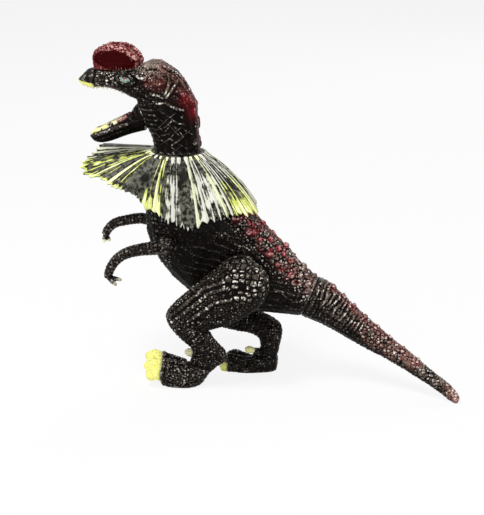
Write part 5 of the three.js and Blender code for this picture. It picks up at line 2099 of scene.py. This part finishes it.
LEGS = (
    Leg(
        Side.LEFT,
        ridge_turn=0.0,
        toes=(
            ((-30.0, -20.2, -45.6), (-44.0, -21.9, -45.2)),
            ((-30.0, -15.4, -44.7), (-47.0, -15.4, -43.0)),
            ((-30.0, -10.6, -43.6), (-48.0, -9.0, -40.5)),
        ),
        claw_roots=((5.0, 13.3, 20.8, 24.2), (-42.8, -41.5, -40.3, -40.5)),
        claw_height=-37.5,
        hallux=Swelling((-26.8, -12.6, -38.9), (2.5, 1.8, 1.8)),
        claw_lumps=(
            Swelling((-45.4, -18.6, -47.3), (3.0, 2.8, 3.4)),
            Swelling((-46.2, -12.2, -45.2), (3.2, 2.8, 3.4)),
            Swelling((-45.0, -21.6, -48.6), (2.8, 2.6, 3.0)),
        ),
        pared=(((-27.5, -17.5, -37.0), 5.5, 2.4), ((-29.5, -9.6, -37.8), 3.0, 1.3)),
        brushing=0.5,
        shin=((-33.0, -20.0, -18.0), (-21.0, -18.0, -31.0), (-17.0, -15.4, -39.0)),
        speck_rows=(
            ((-37.6, -14.0, -41.6), (-37.4, -16.0, -42.3), (-36.4, -21.4, -44.3), (-36.9, -24.2, -47.5)),
            ((-34.2, -14.1, -42.9), (-31.3, -21.3, -45.1), (-28.0, -23.2, -48.5)),
            ((-31.0, -12.4, -42.4), (-27.6, -18.8, -44.4), (-24.6, -21.0, -47.4)),
        ),
    ),
    Leg(
        Side.RIGHT,
        ridge_turn=12.0,
        toes=(
            ((3.0, 11.4, -49.4), (-10.0, 14.3, -47.3)),
            ((3.0, 8.1, -49.1), (-12.5, 8.3, -47.4)),
            ((3.0, 4.8, -49.4), (-11.0, 2.3, -48.6)),
        ),
        claw_roots=((0.0, 2.7, 8.3, 13.9, 17.0), (-10.2, -10.6, -12.0, -11.0, -11.0)),
        claw_height=-49.0,
        hallux=Swelling((1.2, 5.4, -43.2), (2.3, 1.7, 1.7)),
        claw_lumps=(),
        pared=(),
        brushing=0.2,
        shin=(
            (-26.0, 19.5, -25.0), (-10.0, 17.6, -30.5), (2.0, 15.5, -32.0), (11.0, 12.5, -35.5),
            (10.5, 9.0, -46.0),
        ),
        speck_rows=(
            ((-6.0, 13.6, -47.6), (-6.8, 8.3, -46.6), (-5.6, 3.2, -48.4)),
            ((-2.5, 12.8, -47.6), (-3.0, 8.2, -46.4), (-2.2, 3.8, -48.0)),
        ),
    ),
)

ARMS = (
    Arm(
        Side.LEFT,
        line=(
            (-38.0, -15.6, 18.0), (-43.4, -15.6, 16.5), (-51.9, -15.3, 15.0), (-59.4, -15.0, 12.1),
            (-64.0, -14.7, 7.8), (-67.2, -14.2, -0.3),
        ),
        fingertips=((-60.4, -14.8, -1.0), (-62.6, -17.3, -3.1), (-63.8, -11.7, -2.8)),
        tip_paint=0.45,
    ),
    Arm(
        Side.RIGHT,
        line=(
            (-38.0, 15.6, 18.0), (-44.8, 15.6, 20.1), (-56.0, 15.3, 22.4), (-64.5, 15.0, 21.1),
            (-70.5, 14.7, 19.4), (-75.4, 14.2, 13.3),
        ),
        fingertips=((-73.2, 14.8, 9.5), (-75.7, 16.7, 9.2), (-76.0, 11.7, 9.5)),
        tip_paint=1.0,
    ),
)


# Inside pieces


def dress_inside_pieces() -> None:
    """Gives the pivots and the jaw pin, which stay as the CAD has them, their own finishes."""
    finishes = {"jaw_pin": STEEL_WIRE}
    finishes.update({name: ACETAL for name in frame["nodes"] if "pivot" in name})
    for name, finish in finishes.items():
        piece = frame["nodes"][name]
        slot = piece.material_slots[0]
        slot.link = "OBJECT"
        slot.material = finish.material()
        log.info("%s: %s", name, finish.name)


# Studio


@dataclass
class Studio:
    """A pale floor, a soft top light, two large fills and the camera at the photograph's angle."""

    azimuth: float = 8.0
    elevation: float = 18.0
    distance: float = 600.0
    target: Point = (-2.0, 0.0, 8.5)
    frame_height_px: float = 515.0
    focal_px: float = 1200.0
    sensor: float = 36.0
    lamps: tuple[tuple[str, Point, float, float], ...] = (
        ("top_softbox", (-0.3, -0.3, 1.0), 0.3, 7.2),
        ("front_fill", (0.0, -1.2, 0.3), 0.9, 7.0),
        ("rear_fill", (0.5, 1.0, 0.8), 0.8, 4.0),
    )
    lamp_target: Point = (0.0, 0.0, 0.07)
    world_light: float = 0.38
    white: str = "#FFFFFF"
    floor_radius: float = 6.0

    def camera(self) -> None:
        """Places the camera."""
        data = bpy.data.cameras.new("camera")
        data.sensor_width = self.sensor
        data.lens = self.sensor * self.focal_px / self.frame_height_px
        camera = linked("camera", data)
        turn, rise = math.radians(self.azimuth), math.radians(self.elevation)
        back = Vector((math.sin(turn) * math.cos(rise), -math.cos(turn) * math.cos(rise), math.sin(rise)))
        target = Vector((np.array(self.target) + HIP) * MM)
        camera.location = target + back * self.distance * MM
        camera.rotation_euler = (-back).to_track_quat("-Z", "Y").to_euler()
        data.clip_start, data.clip_end = 0.01, 100.0
        bpy.context.scene.camera = camera

    def lamp(self, name: str, place: Point, size: float, watts: float) -> None:
        """Adds a square soft light that looks at the figure.

        Args:
            name: its name.
            place: where it hangs, in metres.
            size: its side, in metres.
            watts: its power.
        """
        data = bpy.data.lights.new(name, "AREA")
        data.size = size
        data.energy = watts
        lamp = linked(name, data)
        lamp.location = place
        aim = Vector(self.lamp_target) - lamp.location
        lamp.rotation_euler = aim.to_track_quat("-Z", "Y").to_euler()

    def build(self) -> None:
        """Builds the floor, the lights and the world."""
        for lamp in self.lamps:
            self.lamp(*lamp)
        world = bpy.data.worlds.new("studio")
        bpy.context.scene.world = world
        world.use_nodes = True
        tree = world.node_tree
        tree.nodes.clear()
        white = linear(self.white)
        lit = node(tree, "Background", {"Color": white, "Strength": self.world_light}).outputs[0]
        seen = node(tree, "Background", {"Color": white, "Strength": 1.0}).outputs[0]
        mix = node(tree, "MixShader", {0: background_rays(tree), 1: lit, 2: seen})
        node(tree, "OutputWorld", {"Surface": mix.outputs[0]})
        self.floor()
        bpy.context.scene.view_settings.view_transform = "Standard"

    def floor(self) -> None:
        """Lays a round pale floor that keeps the figure's shadow."""
        mesh = bpy.data.meshes.new("floor")
        shell = bmesh.new()
        bmesh.ops.create_circle(shell, cap_ends=True, segments=96, radius=self.floor_radius)
        shell.to_mesh(mesh)
        shell.free()
        mesh.materials.append(MattWhiteCard().material())
        linked("floor", mesh)


def main() -> None:
    """Builds the figure piece by piece, then the studio round it."""
    logging.basicConfig(level=logging.INFO, format="%(name)s %(message)s")
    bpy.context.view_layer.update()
    studio = Studio()
    studio.camera()
    Torso().build()
    HeadAndNeck().build()
    for side in Side:
        Crest(side).build()
    LowerJaw().build()
    Ruff().build()
    Tail().build()
    for limb in (*LEGS, *ARMS):
        limb.build()
    dress_inside_pieces()
    studio.build()


if __name__ == "__main__":
    main()
